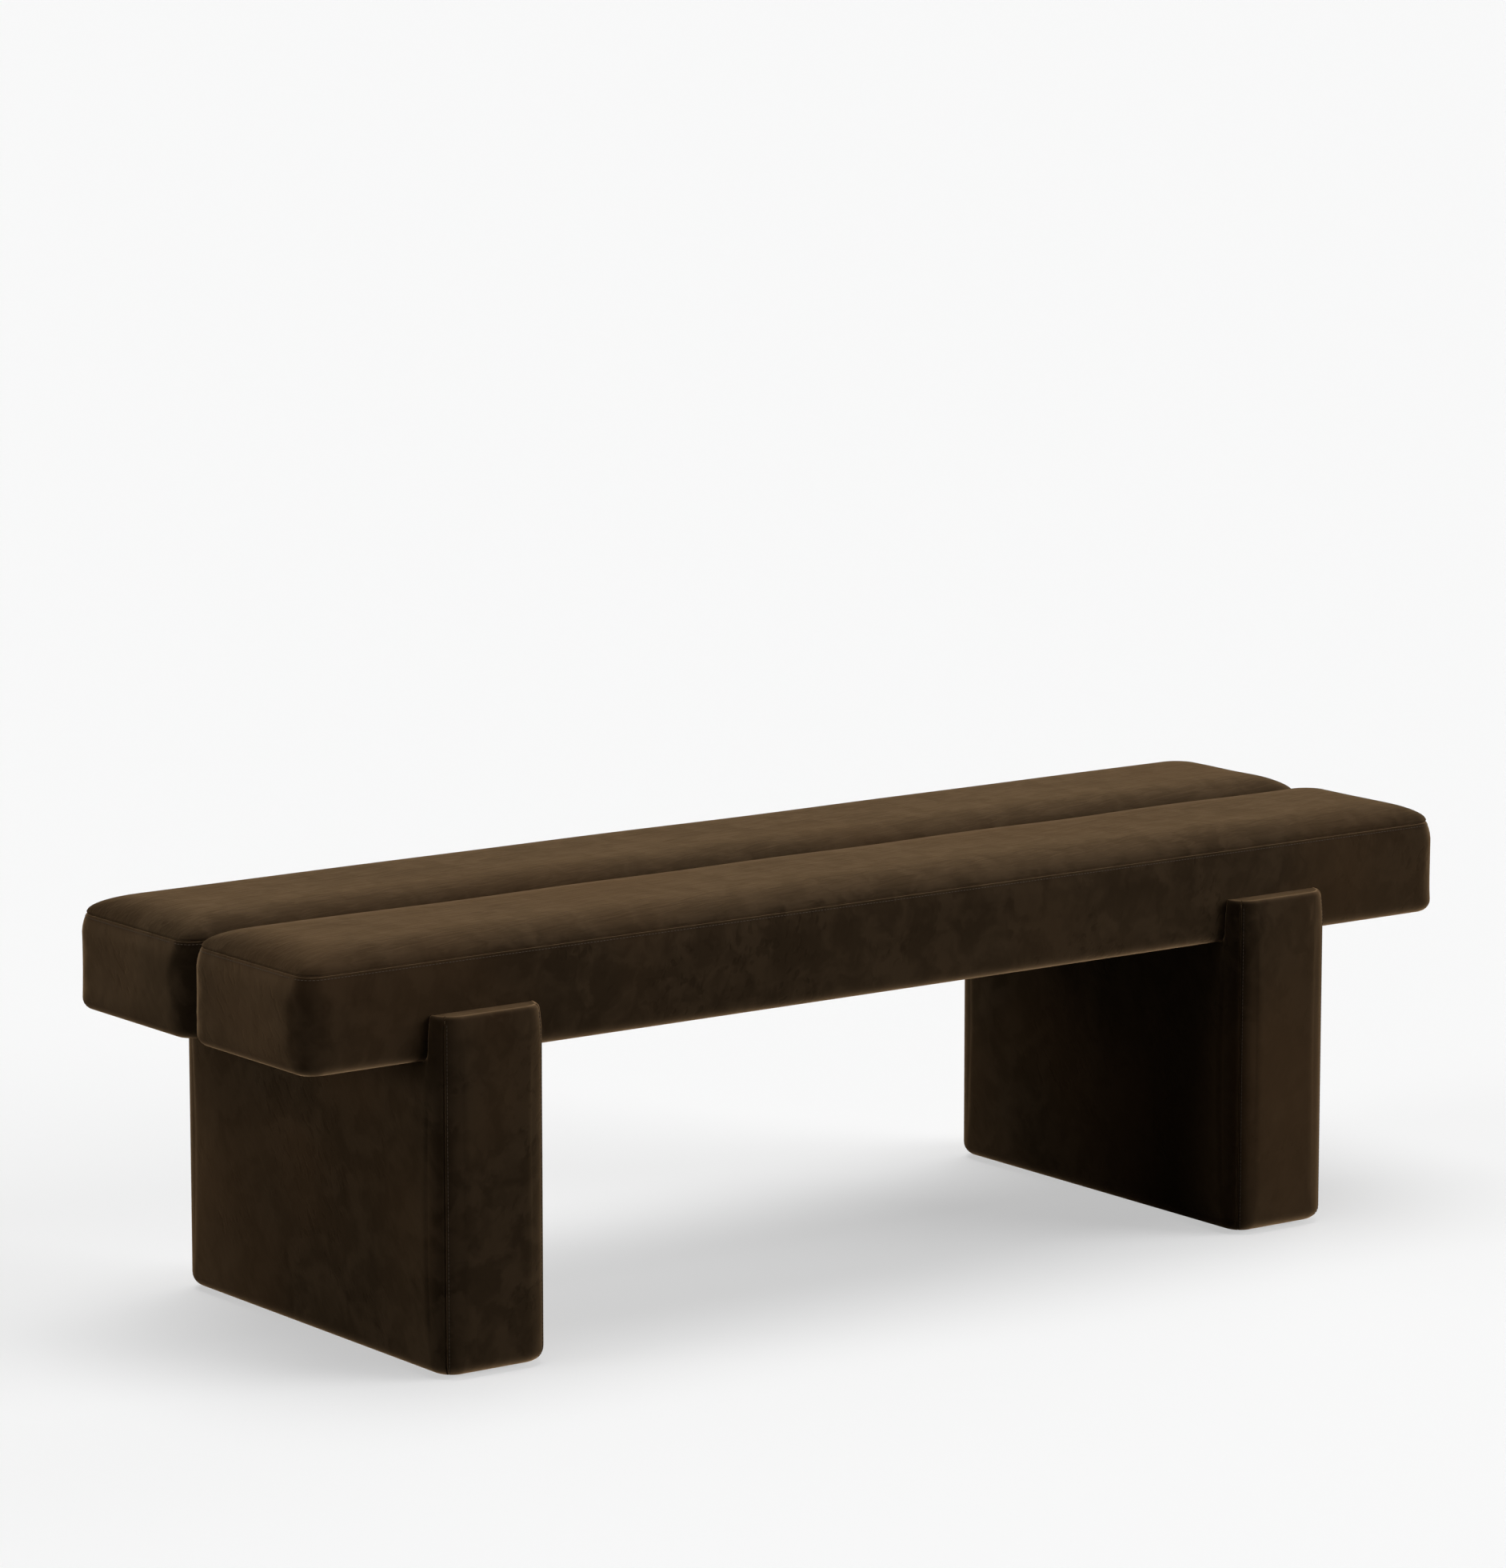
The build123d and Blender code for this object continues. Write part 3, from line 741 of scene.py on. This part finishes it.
def welt(path, outward, loop):
    """The fold in a seam: circles round the points of a path, in the plane of its outward direction and the
    one across it. An open path's circles shrink to a point at both ends."""
    ahead = np.roll(path, -1, axis=0) - np.roll(path, 1, axis=0) if loop else np.gradient(path, axis=0)
    across = np.cross(unit(ahead), outward)
    turn = np.linspace(0, 2 * np.pi, WELT_SIDES, endpoint=False)
    size = np.full(len(path), form().welt_radius)
    if not loop:
        size[[0, -1]] = 0
    ring = outward[:, None] * np.cos(turn)[:, None] + across[:, None] * np.sin(turn)[:, None]
    points = path[:, None] + ring * size[:, None, None]
    index = numbered(*points.shape[:2])
    if loop:
        index = np.vstack([index, index[:1]])
    return points, quads(closed(index))


def stitches(path, outward):
    """A row of stitches, one each stitch pitch of a path's length: short spindles whose rings are as wide as
    an ellipse is there."""
    pitch = form().stitch_pitch
    step = np.linalg.norm(np.diff(path, axis=0), axis=1)
    length = np.concatenate([[0], np.cumsum(step)])
    places = np.arange(pitch, length[-1] - pitch, pitch)
    middle = along_path(places, length, path)
    out = unit(along_path(places, length, outward))
    along = unit(along_path(places + pitch / 4, length, path) - middle)
    across = np.cross(along, out)
    turn = np.linspace(0, 2 * np.pi, STITCH_SIDES, endpoint=False)
    width = np.sqrt(1 - STITCH_RINGS**2) * form().stitch_radius
    spindle = (
        middle[:, None, None]
        + along[:, None, None] * (STITCH_RINGS * form().stitch_length / 2)[:, None, None]
        + out[:, None, None] * (width[:, None] * np.cos(turn))[..., None]
        + across[:, None, None] * (width[:, None] * np.sin(turn))[..., None]
    )
    index = numbered(STITCH_RINGS.size, STITCH_SIDES)
    starts = index.size * np.arange(len(places))
    faces = (quads(closed(index)) + starts[:, None, None]).reshape(-1, 4)
    return spindle.reshape(-1, 3), faces


def along_path(places, length, values):
    """Values at places along a path, whose points have lengths from its start."""
    return np.stack([np.interp(places, length, values[:, axis]) for axis in range(3)], axis=-1)


def unit(vectors):
    """The vectors at a length of 1."""
    return vectors / np.linalg.norm(vectors, axis=1, keepdims=True)


def seat_seam(beam, margin, height):
    """A closed path round a beam and its outward directions."""
    columns, counts = seat_columns(beam)
    path = carry(columns, beam, form().upright_corner - margin, margin, height)
    outward = np.stack([columns[2], columns[3], np.zeros_like(columns[2])], axis=-1)
    return path, outward


def corner_seam(leg, angle, side_x, side_y, shift, sunk):
    """A path up a leg's corner, a distance along the velvet from its seam and sunk below its outer face."""
    columns = arc_columns(np.array([angle + np.degrees(shift / form().leg_corner)]), side_x, side_y)
    foot_margin, foot_height = foot_profile(leg)
    rows = np.linspace(foot_height[-1, 0], leg.top - form().rim_roll, steps(leg.top))[1:, None]
    height = np.concatenate([foot_height, rows])
    margin = np.concatenate([foot_margin, np.zeros_like(rows)]) + tab_inset(leg, height) + sunk
    path = carry(columns, leg, form().leg_corner - margin, margin, height)[:, 0]
    outward = np.tile([columns[2, 0], columns[3, 0], 0.0], (len(path), 1))
    return path, outward


def joined(parts):
    """Several point and face arrays as one pair."""
    starts = np.cumsum([0] + [part[0].reshape(-1, 3).shape[0] for part in parts[:-1]])
    points = np.concatenate([part[0].reshape(-1, 3) for part in parts])
    faces = np.concatenate([part[1] + start for part, start in zip(parts, starts)])
    return points, faces


# Materials

def fill(tree, node, inputs, **settings):
    """Sets a node's settings, then sets or links its inputs, which go by label or by place."""
    for name, value in settings.items():
        setattr(node, name, value)
    for label, value in inputs.items():
        socket = node.inputs[label]
        if isinstance(value, bpy.types.NodeSocket):
            tree.links.new(value, socket)
        else:
            socket.default_value = (*value, 1) if socket.type == "RGBA" else value
    return node


def add_node(tree, kind, inputs, **settings):
    """A new node of a kind with its inputs and settings."""
    return fill(tree, tree.nodes.new(kind), inputs, **settings)


def new_group(name, inputs, outputs):
    """A shader node group with named inputs, each with its default, and named outputs."""
    group = bpy.data.node_groups.new(name, "ShaderNodeTree")
    for label, kind, default in inputs:
        socket = group.interface.new_socket(label, in_out="INPUT", socket_type=kind)
        if default is not None:
            socket.default_value = default
    for label, kind in outputs:
        group.interface.new_socket(label, in_out="OUTPUT", socket_type=kind)
    return group, group.nodes.new("NodeGroupInput").outputs, group.nodes.new("NodeGroupOutput")


def object_place(tree):
    """A point's place in the bench, which all patterns follow."""
    return tree.nodes.new("ShaderNodeTexCoord").outputs["Object"]


def noise(tree, place, scale, detail, distortion=0.0, roughness=0.5):
    """A noise texture at a place."""
    values = {"Vector": place, "Scale": scale, "Detail": detail, "Distortion": distortion}
    return add_node(tree, "ShaderNodeTexNoise", {**values, "Roughness": roughness}).outputs["Fac"]


def bands(tree, place, scale, distortion, direction):
    """Even bands across a direction."""
    values = {"Vector": place, "Scale": scale, "Distortion": distortion}
    return add_node(tree, "ShaderNodeTexWave", values, bands_direction=direction).outputs["Fac"]


def cells(tree, place, scale, randomness=1.0):
    """Distances from the middles of small cells."""
    values = {"Vector": place, "Scale": scale, "Randomness": randomness}
    return add_node(tree, "ShaderNodeTexVoronoi", values).outputs["Distance"]


def spread(tree, value, low, high, start=0.0, end=1.0):
    """A value brought from one range to another and held inside it."""
    limits = {"Value": value, "From Min": low, "From Max": high, "To Min": start, "To Max": end}
    return add_node(tree, "ShaderNodeMapRange", limits).outputs["Result"]


def combine(tree, operation, first, second):
    """Two values, or a value and a number, put together."""
    return add_node(tree, "ShaderNodeMath", {0: first, 1: second}, operation=operation).outputs["Value"]


def weighted(tree, *terms):
    """The sum of some values, each times its weight."""
    total, *others = [combine(tree, "MULTIPLY", value, weight) for value, weight in terms]
    for part in others:
        total = combine(tree, "ADD", total, part)
    return total


def blend_colours(tree, share, first, second):
    """A mix of two colours by a share. Colour sockets are found by type, as others share their labels."""
    node = add_node(tree, "ShaderNodeMix", {"Factor": share}, data_type="RGBA")
    places = [place for place, socket in enumerate(node.inputs) if socket.type == "RGBA"]
    fill(tree, node, dict(zip(places, (first, second))))
    return next(socket for socket in node.outputs if socket.type == "RGBA")


def relief(tree, height, strength, distance):
    """The normal of a surface raised by a height."""
    bump = add_node(tree, "ShaderNodeBump", {"Height": height, "Strength": strength, "Distance": distance})
    return bump.outputs["Normal"]


def nap_group():
    """Velvet's nap as a colour and a height: slow clouds, brushed patches with feathered borders, brush
    strokes, short dark flecks and the fine pile."""
    group, given, end = new_group("velvet nap", [
        ("Place", "NodeSocketVector", None),
        ("Stroke Place", "NodeSocketVector", None),
        ("Pile", "NodeSocketColor", (*velvet().pile, 1)),
        ("Raised", "NodeSocketColor", (*velvet().raised, 1)),
        ("Warm", "NodeSocketColor", (*velvet().warm, 1)),
        ("Strokes", "NodeSocketFloat", 1.0),
        ("Flecks", "NodeSocketFloat", 1.0),
    ], [("Color", "NodeSocketColor"), ("Height", "NodeSocketFloat")])
    place = given["Place"]
    along = given["Stroke Place"]
    strokes = spread(group, noise(group, along, scale=1.0, detail=2.0, distortion=0.8), 0.34, 0.66)
    push = {0: (0.006, 0.006, 0.006), "Scale": strokes}
    feather = add_node(group, "ShaderNodeVectorMath", push, operation="SCALE").outputs["Vector"]
    terms = {0: place, 1: feather}
    brushed = add_node(group, "ShaderNodeVectorMath", terms, operation="ADD").outputs["Vector"]
    clouds = spread(group, noise(group, place, scale=6.0, detail=2.0, distortion=0.5), 0.36, 0.64)
    patches = noise(group, brushed, scale=27.0, detail=2.5, distortion=0.7, roughness=0.55)
    patches = spread(group, patches, 0.42, 0.60)
    few = spread(group, noise(group, place, scale=9.0, detail=2.0, distortion=0.4), 0.48, 0.60)
    flecks = spread(group, noise(group, along, scale=1.5, detail=1.0, distortion=0.3), 0.56, 0.66)
    flecks = combine(group, "MULTIPLY", combine(group, "MULTIPLY", flecks, few), given["Flecks"])
    strokes = combine(group, "MULTIPLY", strokes, given["Strokes"])
    level = weighted(group, (clouds, 0.24), (patches, 0.58), (strokes, 0.30), (flecks, -0.42))
    tone = blend_colours(group, level, given["Pile"], given["Raised"])
    warmth = spread(group, noise(group, place, scale=3.0, detail=2.0, distortion=0.3), 0.45, 0.7, 0.0, 0.7)
    pile = noise(group, place, scale=1500.0, detail=2.0)
    swells = noise(group, place, scale=21.0, detail=1.0, distortion=0.7)
    fill(group, end, {
        "Color": blend_colours(group, warmth, tone, given["Warm"]),
        "Height": weighted(group, (swells, 0.9), (strokes, 0.35), (flecks, -0.12), (pile, 0.06)),
    })
    return group


def shared_material(name, finish, *details):
    """A material by its name, made once: its finish gives what its Principled shader gets."""
    if name in bpy.data.materials:
        return bpy.data.materials[name]
    material = bpy.data.materials.new(name)
    material.use_nodes = True
    tree = material.node_tree
    fill(tree, tree.nodes["Principled BSDF"], finish(tree, *details))
    return material


def velvet_finish(tree, turn, size, nap, sheen, sheen_roughness):
    """Velvet whose brush strokes have a turn in degrees and a size in metres along their own axes."""
    place = object_place(tree)
    axes = {"Vector": place, "Rotation": np.radians(turn), "Scale": size}
    along = add_node(tree, "ShaderNodeMapping", axes, vector_type="TEXTURE").outputs["Vector"]
    group = bpy.data.node_groups.get("velvet nap") or nap_group()
    given = {"Place": place, "Stroke Place": along, **nap}
    surface = add_node(tree, "ShaderNodeGroup", given, node_tree=group)
    return {
        "Base Color": surface.outputs["Color"],
        "Roughness": 0.9,
        "Specular IOR Level": 0.0,
        "Sheen Weight": velvet().sheen_weight,
        "Sheen Roughness": sheen_roughness,
        "Sheen Tint": sheen,
        "Normal": relief(tree, surface.outputs["Height"], strength=1.0, distance=0.0009),
    }


def top_velvet():
    """Velvet brushed along the bench, streaked. It is a lit copy of the side velvet: its pile is painted
    lighter and its sheen dimmer, as painted light on the tops and tab strips.
    """
    nap = {"Pile": velvet().pile_top_painted_lighter, "Raised": velvet().raised_top_painted_lighter, "Strokes": 0.8, "Flecks": 0.5}
    light = (velvet().sheen_top_painted_dimmer, velvet().sheen_roughness_top)
    return shared_material("velvet top", velvet_finish, (0, 0, 9), (0.034, 0.007, 0.007), nap, *light)


def side_velvet():
    """Velvet of the upright faces, in brushed patches with short diagonal strokes."""
    nap = {"Pile": velvet().pile, "Raised": velvet().raised, "Strokes": 0.16, "Flecks": 1.0}
    light = (velvet().sheen, velvet().sheen_roughness)
    return shared_material("velvet side", velvet_finish, (-36, 23, 0), (0.012, 0.012, 0.028), nap, *light)


def thread_finish(tree):
    """Twisted thread: fine slanted bands darken it."""
    twist = bands(tree, object_place(tree), 1100.0, 1.0, "DIAGONAL")
    dark = tuple(value / 2 for value in velvet().thread)
    return {
        "Base Color": blend_colours(tree, twist, dark, velvet().thread),
        "Roughness": 0.7,
        "Specular IOR Level": 0.2,
    }


def foam_finish(tree):
    """Open-cell foam in cream."""
    pores = cells(tree, object_place(tree), 900.0)
    return {
        "Base Color": blend_colours(tree, pores, (0.62, 0.57, 0.43), (0.85, 0.81, 0.68)),
        "Roughness": 0.95,
        "Normal": relief(tree, pores, 0.6, 0.0004),
    }


def plywood_finish(tree):
    """Birch plywood: grain drawn out along the bench and thin plies through the height."""
    place = object_place(tree)
    drawn_out = add_node(tree, "ShaderNodeMapping", {"Vector": place, "Scale": (6.0, 90.0, 90.0)})
    grain = noise(tree, drawn_out.outputs["Vector"], 1.0, 6.0, 0.6)
    plies = bands(tree, place, 110.0, 0.4, "Z")
    level = combine(tree, "MULTIPLY", combine(tree, "ADD", grain, plies), 0.5)
    return {
        "Base Color": blend_colours(tree, level, (0.40, 0.27, 0.15), (0.70, 0.54, 0.36)),
        "Roughness": 0.7,
        "Normal": relief(tree, grain, 0.3, 0.0003),
    }


def underside_finish(tree):
    """Black non-woven cloth: flat fibres and rows of small pressed dots."""
    place = object_place(tree)
    fibres = noise(tree, place, 420.0, 5.0, 1.2)
    height = combine(tree, "ADD", combine(tree, "MULTIPLY", fibres, 0.4), cells(tree, place, 520.0, 0.15))
    return {
        "Base Color": blend_colours(tree, fibres, (0.010, 0.010, 0.011), (0.034, 0.033, 0.033)),
        "Roughness": 0.88,
        "Normal": relief(tree, height, 0.5, 0.0004),
    }


def zinc_finish(tree):
    """Zinc-plated steel with a faint spangle."""
    spangle = noise(tree, object_place(tree), 260.0, 4.0, 0.8)
    return {
        "Base Color": blend_colours(tree, spangle, (0.50, 0.51, 0.53), (0.66, 0.67, 0.68)),
        "Metallic": 1.0,
        "Roughness": spread(tree, spangle, 0.3, 0.7, 0.28, 0.45),
    }


def plastic_finish(tree):
    """Moulded grey plastic with a fine grain and scuffs."""
    place = object_place(tree)
    scuffs = noise(tree, place, 180.0, 5.0, 1.5)
    return {
        "Base Color": blend_colours(tree, scuffs, (0.44, 0.44, 0.43), (0.60, 0.60, 0.59)),
        "Roughness": spread(tree, scuffs, 0.3, 0.7, 0.42, 0.62),
        "Normal": relief(tree, noise(tree, place, 2200.0, 2.0), 0.2, 0.0002),
    }


def sewing_thread():
    """The thread of all topstitches."""
    return shared_material("thread", thread_finish)


# Operators, one for each group of like pieces

class BENCH_OT_seat_tops(bpy.types.Operator):
    """Makes the crowned velvet tops of both seat beams"""

    bl_idname = "bench.seat_tops"
    bl_label = "Seat Tops"

    def execute(self, context):
        beams = [beam_sizes(name) for name in BEAMS]
        panel = puffed(top_panel, beams[0], form().crown_puff)
        for beam, turn_y in zip(beams, BEAM_TURNS):
            piece = place_panel(f"{beam.name}_top_velvet", panel, beam, 1, turn_y, top_velvet())
            weld(piece)
            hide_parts(f"{beam.name}_top_cover", f"{beam.name}_crown_pad")
        return {"FINISHED"}


class BENCH_OT_seat_sides(bpy.types.Operator):
    """Makes the velvet boxing round both seat beams"""

    bl_idname = "bench.seat_sides"
    bl_label = "Seat Sides"

    def execute(self, context):
        beams = [beam_sizes(name) for name in BEAMS]
        legs = [leg_sizes(name) for name in LEGS]
        panel = puffed(boxing_panel, beams[0], form().side_puff, legs)
        for beam, turn_y in zip(beams, BEAM_TURNS):
            piece = place_panel(f"{beam.name}_side_velvet", panel, beam, 1, turn_y, side_velvet())
            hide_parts(f"{beam.name}_boxing", f"{beam.name}_edge_pads")
        return {"FINISHED"}


class BENCH_OT_leg_covers(bpy.types.Operator):
    """Makes the four upright velvet covers of both legs"""

    bl_idname = "bench.leg_covers"
    bl_label = "Leg Covers"

    def execute(self, context):
        legs = [leg_sizes(name) for name in LEGS]
        narrow, wide = [puffed(shape, legs[0], form().leg_puff) for shape in (front_cover, inner_cover)]
        for leg in legs:
            inwards = 1 if leg.x < 0 else -1
            for place, panel, pads, turn_x, turn_y in (
                ("front", narrow, "end_pads", 1, 1),
                ("rear", narrow, "end_pads", 1, -1),
                ("inner", wide, "side_pads", inwards, 1),
                ("outer", wide, "side_pads", -inwards, 1),
            ):
                piece = place_panel(f"{leg.name}_{place}_velvet", panel, leg, turn_x, turn_y, side_velvet())
                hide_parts(f"{leg.name}_{place}_cover", f"{leg.name}_{pads}")
        return {"FINISHED"}


class BENCH_OT_tab_strips(bpy.types.Operator):
    """Makes the velvet strips over the tabs and along the notches of both legs"""

    bl_idname = "bench.tab_strips"
    bl_label = "Tab Strips"

    def execute(self, context):
        for leg in map(leg_sizes, LEGS):
            points, faces = strip_panel(leg)
            piece = make_piece(f"{leg.name}_strip_velvet", points, faces, top_velvet(), (leg.x, leg.y, 0.0))
            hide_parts(f"{leg.name}_top_strip")
        return {"FINISHED"}


class BENCH_OT_seams(bpy.types.Operator):
    """Sews the seams: a fold of cloth in each and a row of topstitches beside it"""

    bl_idname = "bench.seams"
    bl_label = "Seams"

    def execute(self, context):
        sunk = form().seam_roll
        proud = -form().stitch_radius * THREAD_PROUD
        for beam in map(beam_sizes, BEAMS):
            middle = (beam.x, beam.y, beam.seam)
            path, outward = seat_seam(beam, beam.inset + sunk, beam.seam)
            points, faces = welt(path, outward, True)
            make_piece(f"{beam.name}_seam", points, faces, side_velvet(), middle)
            margin = drawn_in(form().stitch_offset) + proud
            path, outward = seat_seam(beam, margin, beam.seam - form().stitch_offset)
            points, faces = stitches(np.vstack([path, path[:1]]), np.vstack([outward, outward[:1]]))
            weld(make_piece(f"{beam.name}_topstitch", points, faces, sewing_thread(), middle))
        for leg in map(leg_sizes, LEGS):
            middle = (leg.x, leg.y, leg.top / 2)
            welts = []
            rows = []
            for angle, side_x, side_y, towards_end in LEG_CORNERS:
                path, outward = corner_seam(leg, angle, side_x, side_y, 0, sunk)
                welts.append(welt(path, outward, False))
                shift = towards_end * form().stitch_offset
                path, outward = corner_seam(leg, angle, side_x, side_y, shift, proud)
                rows.append(stitches(path, outward))
            weld(make_piece(f"{leg.name}_seams", *joined(welts), side_velvet(), middle))
            weld(make_piece(f"{leg.name}_topstitch", *joined(rows), sewing_thread(), middle))
        return {"FINISHED"}


class BENCH_OT_frame_finishes(bpy.types.Operator):
    """Gives the frame's own nodes their finishes by their material slots"""

    bl_idname = "bench.frame_finishes"
    bl_label = "Frame Finishes"

    def execute(self, context):
        finishes = {
            "velvet": side_velvet(),
            "foam": shared_material("foam cells", foam_finish),
            "plywood": shared_material("birch plywood", plywood_finish),
            "black_cloth": shared_material("non-woven cloth", underside_finish),
            "zinc_steel": shared_material("zinc plate", zinc_finish),
            "glide_plastic": shared_material("moulded plastic", plastic_finish),
        }
        for part in frame["record"]["subparts"]:
            mesh = frame["nodes"][part["node"]].data
            mesh.materials.clear()
            mesh.materials.append(finishes[part["material_slot"]])
        return {"FINISHED"}


class BENCH_OT_stage(bpy.types.Operator):
    """Sets the pale floor, the soft lamps and the camera"""

    bl_idname = "bench.stage"
    bl_label = "Stage"

    def execute(self, context):
        make_floor()
        make_lamps(context.scene)
        make_camera(context.scene)
        context.scene.view_settings.view_transform = "Standard"
        return {"FINISHED"}


def seen_directly(tree):
    """1 for what the camera sees directly or mirrored in metal or glass, and 0 for light on the bench."""
    path = tree.nodes.new("ShaderNodeLightPath").outputs
    glossy = combine(tree, "MAXIMUM", path["Is Glossy Ray"], path["Is Transmission Ray"])
    return combine(tree, "MAXIMUM", path["Is Camera Ray"], glossy)


def floor_finish(tree):
    """Pale to the camera, with part of its own light, which softens the shadow, and dark to the bench."""
    seen = seen_directly(tree)
    pale = np.array(stage().floor_colour)
    shaded = pale * stage().shadow_depth
    bounced = pale * stage().floor_bounce
    return {
        "Base Color": blend_colours(tree, seen, bounced, shaded),
        "Roughness": 1.0,
        "Specular IOR Level": 0.0,
        "Emission Color": pale,
        "Emission Strength": combine(tree, "MULTIPLY", seen, 1 - stage().shadow_depth),
    }


def make_floor():
    """A large flat floor."""
    reach = stage().floor_size / 2
    mesh = bpy.data.meshes.new("floor")
    corners = [(-reach, -reach, 0), (reach, -reach, 0), (reach, reach, 0), (-reach, reach, 0)]
    mesh.from_pydata(corners, [], [(0, 1, 2, 3)])
    mesh.materials.append(shared_material("pale floor", floor_finish))
    floor = bpy.data.objects.new("floor", mesh)
    bpy.context.scene.collection.objects.link(floor)


def make_lamps(scene):
    """A faint even sky that looks as pale as the floor, a wide lamp overhead and three low wide lamps, none
    on the camera's side."""
    world = bpy.data.worlds.new("studio")
    scene.world = world
    world.use_nodes = True
    tree = world.node_tree
    strength = spread(tree, seen_directly(tree), 0, 1, stage().sky, stage().floor_colour[0])
    fill(tree, tree.nodes["Background"], {"Color": (1, 1, 1), "Strength": strength})
    make_lamp(scene, "overhead", stage().overhead, width=48, bearing=90, elevation=84)
    make_lamp(scene, "left", stage().left_lamp, width=28, bearing=171, elevation=5)
    make_lamp(scene, "right", stage().right_lamp, width=44, bearing=-40, elevation=8)
    make_lamp(scene, "rear", stage().rear_lamp, width=45, bearing=25, elevation=15)


def make_lamp(scene, name, share, width, bearing, elevation):
    """A sun as wide as a soft box, at a bearing from +X towards +Y and an elevation, all in degrees. A share
    of 1 shows a facing surface in its own colour."""
    lamp = bpy.data.lights.new(name, "SUN")
    lamp.energy = share * np.pi
    lamp.angle = np.radians(width)
    holder = bpy.data.objects.new(name, lamp)
    holder.rotation_euler = (np.pi / 2 - np.radians(elevation), 0, np.pi / 2 + np.radians(bearing))
    scene.collection.objects.link(holder)


def make_camera(scene):
    """A long lens at the place and angles from which the bench is seen."""
    camera = bpy.data.cameras.new("camera")
    camera.lens = stage().camera_lens
    camera.sensor_width = 36
    camera.clip_end = stage().floor_size
    holder = bpy.data.objects.new("camera", camera)
    holder.location = stage().camera_place
    holder.rotation_euler = (np.pi / 2 - stage().camera_tilt, 0, -stage().camera_turn)
    scene.collection.objects.link(holder)
    scene.camera = holder


class BENCH_PT_panel(bpy.types.Panel):
    """Lists the bench's pieces and their settings"""

    bl_idname = "BENCH_PT_panel"
    bl_label = "Bench"
    bl_space_type = "VIEW_3D"
    bl_region_type = "UI"
    bl_category = "Bench"

    def draw(self, context):
        layout = self.layout
        for operator in OPERATORS:
            layout.operator(operator.bl_idname)
        for settings in (context.scene.bench_form, context.scene.bench_velvet, context.scene.bench_stage):
            box = layout.box()
            for name in settings.bl_rna.properties.keys():
                if name not in ("rna_type", "name"):
                    box.prop(settings, name)


OPERATORS = (
    BENCH_OT_seat_tops,
    BENCH_OT_seat_sides,
    BENCH_OT_leg_covers,
    BENCH_OT_tab_strips,
    BENCH_OT_seams,
    BENCH_OT_frame_finishes,
    BENCH_OT_stage,
)
SETTINGS = {"bench_form": BenchForm, "bench_velvet": BenchVelvet, "bench_stage": BenchStage}


def register():
    for group in SETTINGS.values():
        bpy.utils.register_class(group)
    for operator in OPERATORS:
        bpy.utils.register_class(operator)
    bpy.utils.register_class(BENCH_PT_panel)
    for name, group in SETTINGS.items():
        setattr(bpy.types.Scene, name, PointerProperty(type=group))


def unregister():
    for name in SETTINGS:
        delattr(bpy.types.Scene, name)
    bpy.utils.unregister_class(BENCH_PT_panel)
    for operator in reversed(OPERATORS):
        bpy.utils.unregister_class(operator)
    for group in SETTINGS.values():
        bpy.utils.unregister_class(group)


def main():
    """Makes the whole bench and its stage."""
    register()
    bpy.ops.bench.seat_tops()
    bpy.ops.bench.seat_sides()
    bpy.ops.bench.leg_covers()
    bpy.ops.bench.tab_strips()
    bpy.ops.bench.seams()
    bpy.ops.bench.frame_finishes()
    bpy.ops.bench.stage()


if __name__ == "__main__":
    main()
